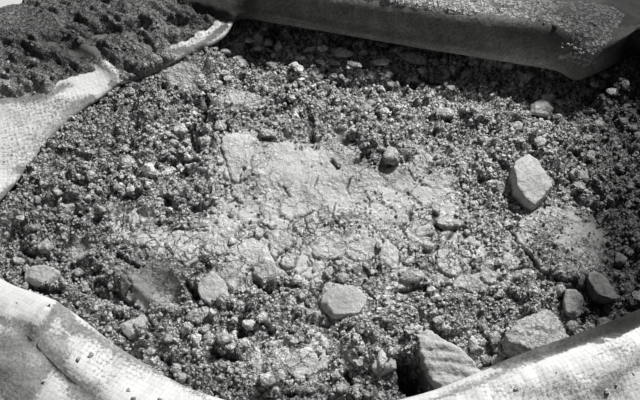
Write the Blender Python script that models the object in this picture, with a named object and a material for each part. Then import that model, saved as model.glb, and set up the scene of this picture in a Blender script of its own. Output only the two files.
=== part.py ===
"""A 40 kg sack of cement that lies flat, with its top face slit open along the middle.

The two halves of the top face are folded outwards over the sack, and hardened, crumbly cement
shows in the mouth between them. Units are metres, +Z is up, +X runs along the sack, and the
origin is under its middle on the floor.
"""

import math
import random

import bmesh
import bpy
from mathutils import Matrix, Vector

MM = 0.001

# The filled sack, as it lies
SACK_LENGTH = 0.600
SACK_WIDTH = 0.424
SACK_SQUARENESS = 4.0
FABRIC = 0.0015
UNDERSIDE_ROUNDING = 0.045
SHOULDER_FULLNESS = 2.6

# The sewn ends: both faces of the sack meet in a flat fin
SEAM_HEIGHT = 0.052
SEAM_FIN = 0.014
SEAM_GAP = 0.0014
FIN_MOUTH = 0.006
FIN_SPREAD = 34.0

# The cement
CEMENT_LEVEL = 0.122
CLEARANCE = 0.0004
LUMP_CLEARANCE = 0.0006
HEAP_CENTRE = Vector((-0.005, 0.008))
RIM_SINK = 0.007
CROWN = 0.003

# The flaps: how far the soft fold's nose stands out as a share of its height, how high the flaps
# lie on the sack, how much their ends wave and how their rows are shared out from the rim
NOSE_SHARE = 0.44
FLAP_REST = 0.0052
FLAP_WAVE = 0.0015
FLAP_ROWS = (0.08, 0.17, 0.28, 0.40, 0.52, 0.64, 0.76, 0.88, 1.0)

# The mouth, going round from the right end of the slit. Each station has the direction in which
# it faces, in degrees, and then, in millimetres, the rim's x and y, its rise over the cement,
# how far the cement runs under it, how far the flap reaches back over the sack, how far the flap
# billows up, how far out from the rim it is highest and how high the soft fold stands.
MOUTH = (
    (0, 222, 15, 8, 4, 18, 2, 9, 7),
    (20, 212, 72, 12, 6, 26, 4, 12, 6),
    (31, 179, 125, 12, 10, 40, 8, 16, 6),
    (36, 163, 108, 9, 16, 60, 13, 14, 7),
    (40, 145, 98, 7, 22, 88, 14, 14, 7),
    (44, 133, 104, 8, 24, 86, 15, 14, 8),
    (56, 99, 111, 9, 26, 84, 16, 14, 8),
    (76, 46, 121, 10, 24, 76, 15, 13, 8),
    (100, -37, 139, 10, 14, 60, 12, 12, 8),
    (112, -61, 144, 7, 9, 54, 6, 14, 6),
    (120, -71, 130, 5, 7, 72, 4, 24, 5),
    (133, -93, 117, 4, 6, 100, 5, 40, 5),
    (140, -114, 103, 4, 5, 104, 5, 44, 5),
    (146, -133, 93, 4, 5, 100, 5, 44, 5),
    (160, -164, 62, 4, 5, 88, 5, 40, 5),
    (172, -186, 20, 5, 5, 54, 4, 25, 5),
    (184, -206, -14, 9, 5, 30, 3, 15, 6),
    (194, -173, -40, 20, 7, 58, 5, 22, 7),
    (205, -140, -56, 26, 9, 92, 6, 30, 7),
    (217, -107, -79, 22, 10, 112, 8, 34, 7),
    (237, -65, -101, 22, 12, 98, 8, 34, 7),
    (262, -12, -111, 26, 14, 84, 9, 30, 8),
    (287, 39, -103, 28, 16, 90, 9, 28, 8),
    (310, 88, -84, 31, 16, 112, 7, 24, 8),
    (328, 141, -64, 31, 14, 104, 7, 24, 8),
    (345, 190, -36, 22, 8, 56, 6, 20, 8),
)
STATIONS = 72

# The heap's broad rises and hollows: x, y, height and reach along x and y, in millimetres
SWELLS = (
    (118, -13, 9, 26, 17),
    (-104, -24, 4, 28, 10),
    (34, -84, -11, 13, 9),
    (60, 100, -5, 60, 14),
    (-40, 120, -3, 28, 12),
    (-60, 100, 3, 26, 10),
    (-88, 46, -3, 11, 11),
    (-58, 44, 2.5, 14, 16),
    (-20, 30, 2, 26, 18),
    (31, 48, 3, 13, 12),
    (73, 24, -3.5, 12, 12),
    (97, 2, -3, 8, 16),
    (150, -2, -5, 13, 26),
    (-154, 2, -3, 22, 18),
    (-128, 52, 3.5, 20, 18),
    (-96, 82, 3.5, 22, 12),
    (-70, -12, 2.5, 26, 11),
    (-76, -38, -3.5, 14, 8),
    (-40, -36, -2.5, 14, 9),
    (-20, -68, 2.5, 22, 10),
    (-59, -70, -3, 16, 10),
    (3, -84, -3, 16, 8),
    (60, 5, 3, 13, 9),
    (84, -78, -4, 10, 7),
    (132, -56, -4, 14, 9),
    (54, 68, 2.5, 18, 12),
    (95, 66, -2.5, 18, 14),
    (134, 52, 2.5, 16, 16),
    (156, 84, -3, 16, 12),
    (-99, 12, -2.5, 20, 12),
    (-165, 34, 3, 14, 18),
    (10, -8, 2, 24, 12),
)

# The cement that has set on the left flap: for each direction, the row of the flap at which it
# starts, counted from the rim, and its thickness in millimetres on that row and the next ones
SPILL_CLEARANCE = 0.0005
SPILL = (
    (120, 2, (2, 3, 4, 4, 3, 2, 1.5)),
    (125, 1, (2, 4, 5, 5, 5, 4, 3, 1.5)),
    (130, 0, (1.5, 4, 6, 6, 5, 5, 5, 4, 1.5)),
    (135, 0, (1.5, 4, 6, 6, 5, 6, 6, 4, 1.5)),
    (140, 1, (2, 5, 6, 5, 6, 6, 4, 1.5)),
    (145, 2, (2, 5, 4, 6, 6, 4, 1.5)),
    (150, 3, (2, 5, 6, 6, 4, 1.5)),
    (155, 4, (3, 6, 6, 4, 1.5)),
    (160, 5, (2, 5, 4, 1.5)),
)

# The loose lumps: x, y, the depth that is buried, the length, width and height, the turn about
# the vertical, the tilt about the long side and the seed. Millimetres and degrees.
LUMPS = {
    "big_lump": (106, 26, 6, 23, 34, 17, 2, 10, 3),
    "leaning_slab": (54, -79, 9, 47, 28, 18, -46, 12, 5),
    "rough_lump": (100, -65, 11, 36, 28, 25, 10, -6, 8),
    "dark_lump": (139, -34, 6, 14, 17, 13, 15, 0, 11),
    "wedge_lump": (123, -43, 4, 10, 17, 11, -10, 8, 13),
    "far_lump": (124, 86, 4, 14, 11, 9, -8, 0, 17),
    "pale_lump": (22, -74, 4, 13, 12, 9, 25, 0, 19),
    "loose_flake": (-67, -35, 3, 15, 20, 7, 24, 8, 23),
    "smooth_plate": (2, -43, 3, 25, 20, 7, -10, -8, 29),
    "left_lump": (-106, -56, 6, 14, 13, 11, 30, 0, 31),
    "long_flake": (-160, -25, 2, 19, 11, 6, 8, 6, 37),
    "side_lump": (139, 36, 4, 11, 10, 9, 40, 0, 41),
}
LUMP_POINTS = 34
LUMP_SQUARENESS = 3.4


def clear_scene():
    for old in list(bpy.data.objects):
        bpy.data.objects.remove(old, do_unlink=True)


def make_material(name, colour, roughness):
    material = bpy.data.materials.new(name)
    material.use_nodes = True
    shader = material.node_tree.nodes["Principled BSDF"]
    shader.inputs["Base Color"].default_value = (*colour, 1.0)
    shader.inputs["Roughness"].default_value = roughness
    shader.inputs["Metallic"].default_value = 0.0
    return material


def add_object(name, shape, material):
    """Makes one object from a bmesh."""
    bmesh.ops.recalc_face_normals(shape, faces=shape.faces)
    mesh = bpy.data.meshes.new(name)
    shape.to_mesh(mesh)
    shape.free()
    mesh.materials.append(material)
    made = bpy.data.objects.new(name, mesh)
    bpy.context.collection.objects.link(made)
    return made


def mouth_values(angle):
    """The mouth's values in one direction, on a smooth closed curve through its stations."""
    count = len(MOUTH)
    after = next((i for i, row in enumerate(MOUTH) if row[0] > angle), count)
    rows = []
    for step in (-2, -1, 0, 1):
        turns, index = divmod(after + step, count)
        rows.append([MOUTH[index][0] + 360 * turns, *MOUTH[index][1:]])
    (a0, *v0), (a1, *v1), (a2, *v2), (a3, *v3) = rows
    t = (angle - a1) / (a2 - a1)
    values = []
    for p0, p1, p2, p3 in zip(v0, v1, v2, v3):
        slope1 = (p2 - p0) / (a2 - a0) * (a2 - a1)
        slope2 = (p3 - p1) / (a3 - a1) * (a2 - a1)
        value = (
            (2 * t**3 - 3 * t**2 + 1) * p1
            + (t**3 - 2 * t**2 + t) * slope1
            + (3 * t**2 - 2 * t**3) * p2
            + (t**3 - t**2) * slope2
        )
        values.append(value * MM)
    return values


def outline_point(angle, inset=0.0):
    """A point on the sack's plan outline, a squared oval, moved in by the inset."""
    direction = Vector((math.cos(angle), math.sin(angle)))
    half_length = SACK_LENGTH / 2 - inset
    half_width = SACK_WIDTH / 2 - inset
    n = SACK_SQUARENESS
    size = abs(direction.x / half_length) ** n + abs(direction.y / half_width) ** n
    return direction * size ** (-1 / n)


def fin_share(angle):
    """1 across each sewn end and 0 along the sides, with a soft change at the corners."""
    off_axis = abs(math.degrees(math.atan2(math.sin(angle), abs(math.cos(angle)))))
    share = min(max((FIN_SPREAD - off_axis) / 8 + 1, 0), 1)
    return share * share * (3 - 2 * share)


class Station:
    """One direction round the sack: its outline, its rim and the heights between the two."""

    def __init__(self, degrees):
        self.angle = math.radians(degrees)
        x, y, self.rise, self.undercut, *flap = mouth_values(degrees)
        self.cuff, self.billow, self.swollen, self.bend = flap
        self.rim = Vector((x, y))
        self.edge = outline_point(self.angle)
        self.reach = (self.edge - self.rim).length
        self.out = (self.edge - self.rim) / self.reach
        self.crest = CEMENT_LEVEL + self.rise

    def top_height(self, distance):
        """The height of the top face's inner side, this far out from the rim."""
        if distance <= self.undercut:
            t = distance / self.undercut
            return self.crest + (self.contact() - self.crest) * t * (2 - t)
        u = (distance - self.undercut) / (self.reach - self.undercut)
        full = (1 - min(u, 1) ** SHOULDER_FULLNESS) ** (1 / SHOULDER_FULLNESS)
        foot = SEAM_HEIGHT + FIN_MOUTH / 2
        return foot + (self.contact() - foot) * full

    def contact(self):
        """The height at which the cement meets the top face."""
        return CEMENT_LEVEL - RIM_SINK / 3

    def place(self, distance, height):
        flat = self.rim + self.out * distance
        return Vector((flat.x, flat.y, height))

    def underside(self, slack):
        """Rings from the flat underside up to the foot of the seam."""
        points = []
        for turn in (0, 30, 62, 90):
            swing = math.radians(turn)
            inset = UNDERSIDE_ROUNDING * (1 - math.sin(swing)) + slack
            flat = outline_point(self.angle, inset)
            low = FABRIC + slack
            rise = SEAM_HEIGHT - FIN_MOUTH / 2 - FABRIC
            points.append(Vector((flat.x, flat.y, low + rise * (1 - math.cos(swing)))))
        return points

    def seam(self):
        """The narrow slot inside the sewn fin."""
        flat = self.edge.copy()
        flat.x += math.copysign(SEAM_FIN * fin_share(self.angle), flat.x)
        half = SEAM_GAP / 2 + (FIN_MOUTH / 2 - SEAM_GAP) * 0.5 * (1 - fin_share(self.angle))
        return [Vector((flat.x, flat.y, SEAM_HEIGHT + side * half)) for side in (-1, 1)]

    def shoulder(self, slack):
        """Rings from the head of the seam to where the cement meets the top face."""
        points = []
        span = self.reach - self.undercut
        for share in (1.0, 0.93, 0.74, 0.42, 0.0):
            distance = self.undercut + span * share
            height = self.top_height(distance) - slack * (1 - share)
            point = self.place(distance, height)
            inward = self.out * (-slack * share)
            points.append(point + Vector((inward.x, inward.y, 0)))
        return points

    def flap(self, share):
        """A point on the flap, this share of the way from the rim to its end."""
        distance = self.cuff * share
        start = self.crest + self.bend
        end = self.top_height(self.cuff) + FLAP_REST
        if distance < self.swollen:
            swell = math.sin(math.pi / 2 * distance / self.swollen)
        else:
            past = (distance - self.swollen) / (self.cuff - self.swollen)
            swell = 0.5 + 0.5 * math.cos(math.pi * past)
        wave = 1 + 0.7 * math.sin(9 * self.angle + 1) + 0.5 * math.sin(17 * self.angle + 2)
        height = start + (end - start) * share**2 + self.billow * swell
        height = max(height, self.top_height(distance) + FLAP_REST)
        return self.place(distance, height + FLAP_WAVE * share * wave)

    def fold(self):
        """The fabric from the cement up over the rim and back out along the flap."""
        lip = self.top_height(0)
        points = [
            self.place(self.undercut / 2, self.top_height(self.undercut / 2)),
            self.place(0, lip),
            self.place(-NOSE_SHARE * self.bend, lip + self.bend / 2),
            self.flap(0),
        ]
        return points + [self.flap(share) for share in FLAP_ROWS]


def loft(shape, rings, close_last=None):
    """Joins closed rings of points with triangles, from a pole in the first to one in the last."""
    loops = [[shape.verts.new(point) for point in ring] for ring in rings]
    count = len(rings[0])
    for low, high in zip(loops, loops[1:]):
        for i in range(count):
            j = (i + 1) % count
            shape.faces.new((low[i], low[j], high[j]))
            shape.faces.new((low[i], high[j], high[i]))
    pole = shape.verts.new((0, 0, rings[0][0].z))
    for i in range(count):
        shape.faces.new((pole, loops[0][(i + 1) % count], loops[0][i]))
    if close_last is not None:
        cap = shape.verts.new(close_last)
        for i in range(count):
            shape.faces.new((cap, loops[-1][i], loops[-1][(i + 1) % count]))


def rings_of(stations, profile):
    """Turns one profile for each station into rings round the sack."""
    return [list(ring) for ring in zip(*(profile(station) for station in stations))]


def build_sack(stations, material):
    """The fabric's inner side is lofted, and the wall goes on its outer side."""
    rings = rings_of(
        stations,
        lambda s: s.underside(0) + s.seam() + s.shoulder(0) + s.fold(),
    )
    shape = bmesh.new()
    loft(shape, rings)
    sack = add_object("sack", shape, material)
    underside = sack.data.polygons[-1]
    if underside.normal.z > 0:
        sack.data.flip_normals()
    wall = sack.modifiers.new("wall", "SOLIDIFY")
    wall.thickness = FABRIC
    wall.offset = 1.0
    wall.use_even_offset = True
    sack.data.shade_smooth()
    return sack


def heap_height(x, y):
    """The cement's surface, as a low crown with broad rises and hollows."""
    away = math.hypot(x / (SACK_LENGTH / 2), y / (SACK_WIDTH / 2))
    height = CEMENT_LEVEL + CROWN - (CROWN + RIM_SINK) * min(away / 0.62, 1) ** 3
    for sx, sy, tall, wide, deep in SWELLS:
        square = ((x - sx * MM) / (wide * MM)) ** 2 + ((y - sy * MM) / (deep * MM)) ** 2
        height += tall * MM * math.exp(-square / 2)
    return height


def heap_profile(station):
    """Rings over the heap, from under the fabric to near its middle."""
    contact = station.place(station.undercut, 0).xy
    points = []
    for share in (0.95, 0.89, 0.82, 0.74, 0.65, 0.56, 0.46, 0.36, 0.26, 0.17, 0.08):
        flat = HEAP_CENTRE + (contact - HEAP_CENTRE) * share
        points.append(Vector((flat.x, flat.y, heap_height(flat.x, flat.y))))
    return points


def build_cement(stations, material):
    """The heap fills the sack to its fabric, with a clearance all round."""
    rings = rings_of(
        stations,
        lambda s: s.underside(CLEARANCE) + s.shoulder(CLEARANCE) + heap_profile(s),
    )
    shape = bmesh.new()
    top = Vector((*HEAP_CENTRE, heap_height(*HEAP_CENTRE)))
    loft(shape, rings, close_last=top)
    return add_object("cement_fill", shape, material)


def build_spill(material):
    """A rough layer that follows the left flap, a clearance above it."""
    shape = bmesh.new()
    low, high = {}, {}
    for column, (degrees, first, thicknesses) in enumerate(SPILL):
        station = Station(degrees)
        for row, thickness in enumerate(thicknesses, first):
            point = station.flap((0, *FLAP_ROWS)[row])
            low[column, row] = shape.verts.new(point + Vector((0, 0, SPILL_CLEARANCE)))
            high[column, row] = shape.verts.new(point + Vector((0, 0, thickness * MM)))
    for column, row in low:
        cell = [(column, row), (column + 1, row), (column + 1, row + 1), (column, row + 1)]
        if all(corner in low for corner in cell):
            for a, b, c in ((0, 1, 2), (0, 2, 3)):
                shape.faces.new([low[cell[i]] for i in (c, b, a)])
                shape.faces.new([high[cell[i]] for i in (a, b, c)])
    for edge in [edge for edge in shape.edges if edge.is_boundary and edge.verts[0] in low.values()]:
        foot = {vert: key for key, vert in low.items()}
        start, end = (foot[vert] for vert in edge.verts)
        shape.faces.new((low[start], low[end], high[end]))
        shape.faces.new((low[start], high[end], high[start]))
    loose = [vert for vert in shape.verts if not vert.link_faces]
    bmesh.ops.delete(shape, geom=loose, context="VERTS")
    return add_object("set_spill", shape, material)


def lump_shape(size, seed):
    """A broken lump: the hull of points strewn over a squared ball."""
    strewn = random.Random(seed)
    shape = bmesh.new()
    for _ in range(LUMP_POINTS):
        direction = Vector([strewn.uniform(-1, 1) for _ in range(3)]).normalized()
        spread = sum(abs(part) ** LUMP_SQUARENESS for part in direction)
        point = direction * spread ** (-1 / LUMP_SQUARENESS) * strewn.uniform(0.86, 1.0)
        shape.verts.new([part * full / 2 for part, full in zip(point, size)])
    hull = bmesh.ops.convex_hull(shape, input=shape.verts)
    inside = [item for item in hull["geom_interior"] if isinstance(item, bmesh.types.BMVert)]
    bmesh.ops.delete(shape, geom=inside, context="VERTS")
    return shape


def add_lump(name, cement, material):
    """One lump, sunk into a pocket of its own shape in the heap."""
    x, y, buried, *size, turn, tilt, seed = LUMPS[name]
    size = [full * MM for full in size]
    spin = Matrix.Rotation(math.radians(turn), 4, "Z") @ Matrix.Rotation(math.radians(tilt), 4, "X")
    floor = heap_height(x * MM, y * MM) - buried * MM
    place = Matrix.Translation((x * MM, y * MM, floor + size[2] / 2)) @ spin
    lump = add_object(name, lump_shape(size, seed), material)
    lump.matrix_world = place
    pocket_shape = lump_shape(size, seed)
    roomy = [1 + 2 * LUMP_CLEARANCE / full for full in size]
    bmesh.ops.scale(pocket_shape, vec=roomy, verts=pocket_shape.verts)
    pocket = add_object(name + "_pocket", pocket_shape, material)
    pocket.matrix_world = place
    pocket.hide_render = True
    pocket.display_type = "WIRE"
    cut = cement.modifiers.new(name + "_pocket", "BOOLEAN")
    cut.object = pocket
    cut.operation = "DIFFERENCE"
    cut.solver = "EXACT"


def main():
    clear_scene()
    woven_plastic = make_material("woven_plastic", (0.78, 0.78, 0.77), 0.55)
    cement_grey = make_material("cement_grey", (0.42, 0.42, 0.41), 0.95)
    hard_cement = make_material("hard_cement", (0.46, 0.46, 0.45), 0.92)
    stations = [Station(360 * i / STATIONS) for i in range(STATIONS)]
    build_sack(stations, woven_plastic)
    build_spill(hard_cement)
    cement = build_cement(stations, cement_grey)
    for name in LUMPS:
        add_lump(name, cement, hard_cement)


main()
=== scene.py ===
# %% [markdown]
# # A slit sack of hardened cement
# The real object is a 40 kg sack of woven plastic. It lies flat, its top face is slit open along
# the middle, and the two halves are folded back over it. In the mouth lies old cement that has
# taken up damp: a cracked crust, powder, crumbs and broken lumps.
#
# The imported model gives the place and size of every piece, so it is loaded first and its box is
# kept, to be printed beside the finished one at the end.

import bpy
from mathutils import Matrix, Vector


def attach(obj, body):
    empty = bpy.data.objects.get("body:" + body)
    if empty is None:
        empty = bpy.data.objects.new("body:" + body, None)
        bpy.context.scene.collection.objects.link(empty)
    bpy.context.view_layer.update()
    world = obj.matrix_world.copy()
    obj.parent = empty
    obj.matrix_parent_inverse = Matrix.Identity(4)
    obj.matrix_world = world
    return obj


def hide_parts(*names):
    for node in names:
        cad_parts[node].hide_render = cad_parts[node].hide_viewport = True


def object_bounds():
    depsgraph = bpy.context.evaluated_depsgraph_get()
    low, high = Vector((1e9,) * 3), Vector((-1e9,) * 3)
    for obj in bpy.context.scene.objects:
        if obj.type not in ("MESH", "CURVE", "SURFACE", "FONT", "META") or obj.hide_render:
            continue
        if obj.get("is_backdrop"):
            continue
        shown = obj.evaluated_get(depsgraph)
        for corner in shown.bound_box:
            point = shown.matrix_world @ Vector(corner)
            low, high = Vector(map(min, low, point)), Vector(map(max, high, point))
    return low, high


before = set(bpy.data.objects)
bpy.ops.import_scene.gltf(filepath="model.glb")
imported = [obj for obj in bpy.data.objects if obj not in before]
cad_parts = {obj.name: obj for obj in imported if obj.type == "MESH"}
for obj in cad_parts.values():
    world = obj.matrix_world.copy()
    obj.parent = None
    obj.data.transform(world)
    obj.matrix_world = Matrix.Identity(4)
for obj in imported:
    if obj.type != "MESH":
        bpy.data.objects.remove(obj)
cad_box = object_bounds()
print("packed nodes:", len(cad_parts), "box:",
      [tuple(round(c, 4) for c in p) for p in cad_box])

# %% Tools
import math
import random
from itertools import product

import bpy
import numpy as np
from mathutils import Matrix, Vector
from mathutils.bvhtree import BVHTree

MM = 0.001


def link_new(name, data):
    """A new object of this data, put in the scene."""
    made = bpy.data.objects.new(name, data)
    bpy.context.scene.collection.objects.link(made)
    return made

# %% [markdown]
# ## Where the camera stands
# The camera looks steeply down into the mouth, from the sack's near side. Many stones and folds
# are known by where they show in the picture, so two helpers go between a pixel of the
# 640 x 400 picture and a point at a known height. What they place still rests on the ground
# below it, which other steps work out.

# %% The view
TARGET = np.array((-0.010, 0.020, 0.122))
DISTANCE = 0.50
ELEVATION = math.radians(62)
LENS, SENSOR = 50.0, 36.0
PICTURE = (640, 400)
FOCAL = LENS / SENSOR * PICTURE[0]
BACK = np.array((0, -math.cos(ELEVATION), math.sin(ELEVATION)))
RIGHT = np.array((1.0, 0.0, 0.0))
UP = np.cross(BACK, RIGHT)
EYE = TARGET + BACK * DISTANCE
ACROSS = DISTANCE / FOCAL
ALONG = ACROSS / math.sin(ELEVATION)
# About how high the crust and the flaps lie, for a first guess at where a pixel is
CRUST_HEIGHT, FLAP_HEIGHT = 0.124, 0.14


def seen(u, v, z=CRUST_HEIGHT):
    """The x and y of the point at this height that shows at this pixel."""
    ray = -BACK + (u - PICTURE[0] / 2) / FOCAL * RIGHT - (v - PICTURE[1] / 2) / FOCAL * UP
    return (EYE + ray * (z - EYE[2]) / ray[2])[:2]


def pixel(points):
    """The pixel at which each point shows."""
    away = points - EYE
    depth = -away @ BACK
    u = PICTURE[0] / 2 + FOCAL * (away @ RIGHT) / depth
    return u, PICTURE[1] / 2 - FOCAL * (away @ UP) / depth


camera_data = bpy.data.cameras.new("camera")
camera_data.lens, camera_data.sensor_width, camera_data.clip_start = LENS, SENSOR, 0.01
camera = link_new("camera", camera_data)
camera.location = EYE
camera.rotation_euler = (math.pi / 2 - ELEVATION, 0, 0)
bpy.context.scene.camera = camera
print("one pixel is", round(ACROSS / MM, 3), "mm across and", round(ALONG / MM, 3), "mm along")

# %% [markdown]
# ## The sack's sizes
# The fabric and the heap are made again here at a finer pitch, so the sizes that shape them are
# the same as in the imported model. The mouth is a table that goes round the slit: the direction
# faced in degrees, then in millimetres the rim's x and y, its rise over the cement, how far the
# cement runs under it, how far the flap reaches back, how far it billows, how far out it is
# highest and how high the soft fold stands.

# %% Sizes
SACK_LENGTH, SACK_WIDTH, SACK_SQUARENESS = 0.600, 0.424, 4.0
FABRIC = 0.0015
UNDERSIDE_ROUNDING = 0.045
SHOULDER_FULLNESS = 2.6
SEAM_HEIGHT, SEAM_FIN, SEAM_GAP = 0.052, 0.014, 0.0014
FIN_MOUTH, FIN_SPREAD = 0.006, 34.0
CEMENT_LEVEL = 0.122
HEAP_CENTRE = np.array((-0.005, 0.008))
RIM_SINK, CROWN = 0.007, 0.003
NOSE_SHARE, FLAP_REST, FLAP_WAVE = 0.44, 0.0052, 0.0015
MOUTH = np.array((
    (0, 222, 15, 8, 4, 18, 2, 9, 7), (20, 212, 72, 12, 6, 26, 4, 12, 6),
    (31, 179, 125, 12, 10, 40, 8, 16, 6), (36, 163, 108, 9, 16, 60, 13, 14, 7),
    (40, 145, 98, 7, 22, 88, 14, 14, 7), (44, 133, 104, 8, 24, 86, 15, 14, 8),
    (56, 99, 111, 9, 26, 84, 16, 14, 8), (76, 46, 121, 10, 24, 76, 15, 13, 8),
    (100, -37, 139, 10, 14, 60, 12, 12, 8), (112, -61, 144, 7, 9, 54, 6, 14, 6),
    (120, -71, 130, 5, 7, 72, 4, 24, 5), (133, -93, 117, 4, 6, 100, 5, 40, 5),
    (140, -114, 103, 4, 5, 104, 5, 44, 5), (146, -133, 93, 4, 5, 100, 5, 44, 5),
    (160, -164, 62, 4, 5, 88, 5, 40, 5), (172, -186, 20, 5, 5, 54, 4, 25, 5),
    (184, -206, -14, 9, 5, 30, 3, 15, 6), (194, -173, -40, 20, 7, 58, 5, 22, 7),
    (205, -140, -56, 26, 9, 92, 6, 30, 7), (217, -107, -79, 22, 10, 112, 8, 34, 7),
    (237, -65, -101, 22, 12, 98, 8, 34, 7), (262, -12, -111, 26, 14, 84, 9, 30, 8),
    (287, 39, -103, 28, 16, 90, 9, 28, 8), (310, 88, -84, 31, 16, 112, 7, 24, 8),
    (328, 141, -64, 31, 14, 104, 7, 24, 8), (345, 190, -36, 22, 8, 56, 6, 20, 8),
), float)
# Broad rises and hollows of the heap in mm: x, y, height and half sizes along x and y
SWELLS = (
    (118, -13, 9, 26, 17), (-104, -24, 4, 28, 10), (34, -84, -11, 13, 9), (60, 100, -5, 60, 14),
    (-40, 120, -3, 28, 12), (-60, 100, 3, 26, 10), (-88, 46, -3, 11, 11), (-58, 44, 2.5, 14, 16),
    (-20, 30, 2, 26, 18), (31, 48, 3, 13, 12), (73, 24, -3.5, 12, 12), (97, 2, -3, 8, 16),
    (150, -2, -5, 13, 26), (-154, 2, -3, 22, 18), (-128, 52, 3.5, 20, 18), (-96, 82, 3.5, 22, 12),
    (-70, -12, 2.5, 26, 11), (-76, -38, -3.5, 14, 8), (-40, -36, -2.5, 14, 9),
    (-20, -68, 2.5, 22, 10), (-59, -70, -3, 16, 10), (3, -84, -3, 16, 8), (60, 5, 3, 13, 9),
    (84, -78, -4, 10, 7), (132, -56, -4, 14, 9), (54, 68, 2.5, 18, 12), (95, 66, -2.5, 18, 14),
    (134, 52, 2.5, 16, 16), (156, 84, -3, 16, 12), (-99, 12, -2.5, 20, 12), (-165, 34, 3, 14, 18),
    (10, -8, 2, 24, 12),
)
print("mouth stations:", len(MOUTH), "rises and hollows:", len(SWELLS))


# %% Curves
def mouth_at(degrees):
    """The mouth's eight values in metres in each direction, on a smooth closed curve."""
    table = np.concatenate([MOUTH + np.array([360.0 * k] + [0] * 8) for k in (-1, 0, 1)])
    at = np.searchsorted(table[:, 0], degrees, side="right")
    (a0, p0), (a1, p1), (a2, p2), (a3, p3) = (
        (table[at + k, 0], table[at + k, 1:].T) for k in (-2, -1, 0, 1))
    t = (degrees - a1) / (a2 - a1)
    slope1 = (p2 - p0) / (a2 - a0) * (a2 - a1)
    slope2 = (p3 - p1) / (a3 - a1) * (a2 - a1)
    return MM * (
        (2 * t**3 - 3 * t**2 + 1) * p1 + (t**3 - 2 * t**2 + t) * slope1
        + (3 * t**2 - 2 * t**3) * p2 + (t**3 - t**2) * slope2
    )


def outline(angle, inset=0.0):
    """Points on the sack's plan outline, a squared oval, moved in by the inset."""
    direction = np.stack((np.cos(angle), np.sin(angle)), -1)
    half = np.array((SACK_LENGTH / 2, SACK_WIDTH / 2)) - inset
    share = (np.abs(direction / half) ** SACK_SQUARENESS).sum(-1, keepdims=True)
    return direction * share ** (-1 / SACK_SQUARENESS)


def soft_step(t):
    """0 below 0, 1 above 1 and smooth between."""
    t = np.clip(t, 0, 1)
    return t * t * (3 - 2 * t)


print("the rim's first point:", mouth_at(np.zeros(1))[:2, 0].round(3))

# %% [markdown]
# ## Two kinds of random
# Cement has no straight lines, so nearly every surface here is shaped by repeatable random
# numbers. `noise` gives soft bumps of a chosen size. `cells` scatters centres over the ground
# and tells each point which is nearest, which gives plates, clods and the cracks between them.

# %% Noise and cells
def hashed(cell, seed):
    """A repeatable number from 0 to 1 for each whole-number cell."""
    mixed = np.full(cell.shape[:-1], seed * 2654435761 + 97, np.uint64)
    for axis, prime in zip(range(cell.shape[-1]), (73856093, 19349663, 83492791)):
        mixed = mixed ^ (cell[..., axis] * prime).astype(np.uint64)
        mixed = mixed * np.uint64(0x9E3779B97F4A7C15)
        mixed ^= mixed >> np.uint64(29)
    return (mixed >> np.uint64(11)).astype(float) / 2**53


def noise(points, size, seed=0, layers=1, rough=0.5):
    """Soft bumps from -1 to 1 of about this size, with finer layers added on."""
    total, height = 0.0, 1.0
    for layer in range(layers):
        p = points / size + layer * 17.3
        base = np.floor(p).astype(np.int64)
        f = p - base
        w = f * f * f * (f * (f * 6 - 15) + 10)
        for corner in product((0, 1), repeat=points.shape[-1]):
            share = np.where(corner, w, 1 - w).prod(-1)
            total = total + height * share * (hashed(base + np.array(corner), seed + layer) * 2 - 1)
        size, height = size * 0.5, height * rough
    return total


def drift(points, size, seed, layers=2, rough=0.5):
    """Noise along both axes of the plan, which bends what would be straight."""
    return np.stack([noise(points, size, seed + axis, layers, rough) for axis in (0, 1)], -1)


def cells(points, size, seed=0):
    """Each point's distance to the nearest scattered centre and to the next one, the centre's own
    number from 0 to 1, and the centre."""
    p = points / size
    base = np.floor(p).astype(np.int64)
    nearest = np.full(len(points), 9.0)
    following, own, middle = nearest.copy(), np.zeros(len(points)), np.zeros((len(points), 2))
    for step in product((-1, 0, 1), repeat=2):
        cell = base + np.array(step)
        chance = np.stack((hashed(cell, seed), hashed(cell, seed + 31)), -1)
        centre = cell + 0.5 + 0.86 * (chance - 0.5)
        away = np.hypot(*(p - centre).T)
        closer = away < nearest
        following = np.where(closer, nearest, np.minimum(following, away))
        nearest = np.where(closer, away, nearest)
        own = np.where(closer, hashed(cell, seed + 67), own)
        middle = np.where(closer[:, None], centre, middle)
    return nearest * size, following * size, own, middle * size


print("noise at one point:", noise(np.zeros((1, 2)), 0.01, 1, 3).round(3))


# %% Spots and lines
def patches(points, spots, z=CRUST_HEIGHT):
    """How much of a list of soft oval spots lies on each point, from 0 to 1. A spot is its pixel,
    its half sizes in pixels and its strength."""
    bare = np.ones(len(points))
    for u, v, wide, deep, strength in spots:
        away = (points - seen(u, v, z)) / np.array((wide * ACROSS, deep * ALONG))
        bare *= 1 - strength * np.exp(-((away**2).sum(-1)) ** 1.5)
    return 1 - bare


def near(points, line):
    """How far each point is from a bent line, and on which side of it (left is positive)."""
    nearest, side = np.full(len(points), 9e9), np.ones(len(points))
    for start, end in zip(line, line[1:]):
        start, run = np.array(start, float), np.subtract(end, start)
        off = points - start
        along = np.clip(off @ run / (run @ run), 0, 1)
        away = np.hypot(*(off - along[:, None] * run).T)
        turn = np.sign(run[0] * off[:, 1] - run[1] * off[:, 0])
        side = np.where(away < nearest, turn, side)
        nearest = np.minimum(nearest, away)
    return nearest, side


def on_line(points, line, half, power=2):
    """1 on a bent line, falling softly to 0 past this half width."""
    return np.exp(-((near(points, line)[0] / half) ** power))


def in_plan(line):
    """The points of the plan that show at a line's pixels."""
    return [seen(*p) for p in line]


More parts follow.
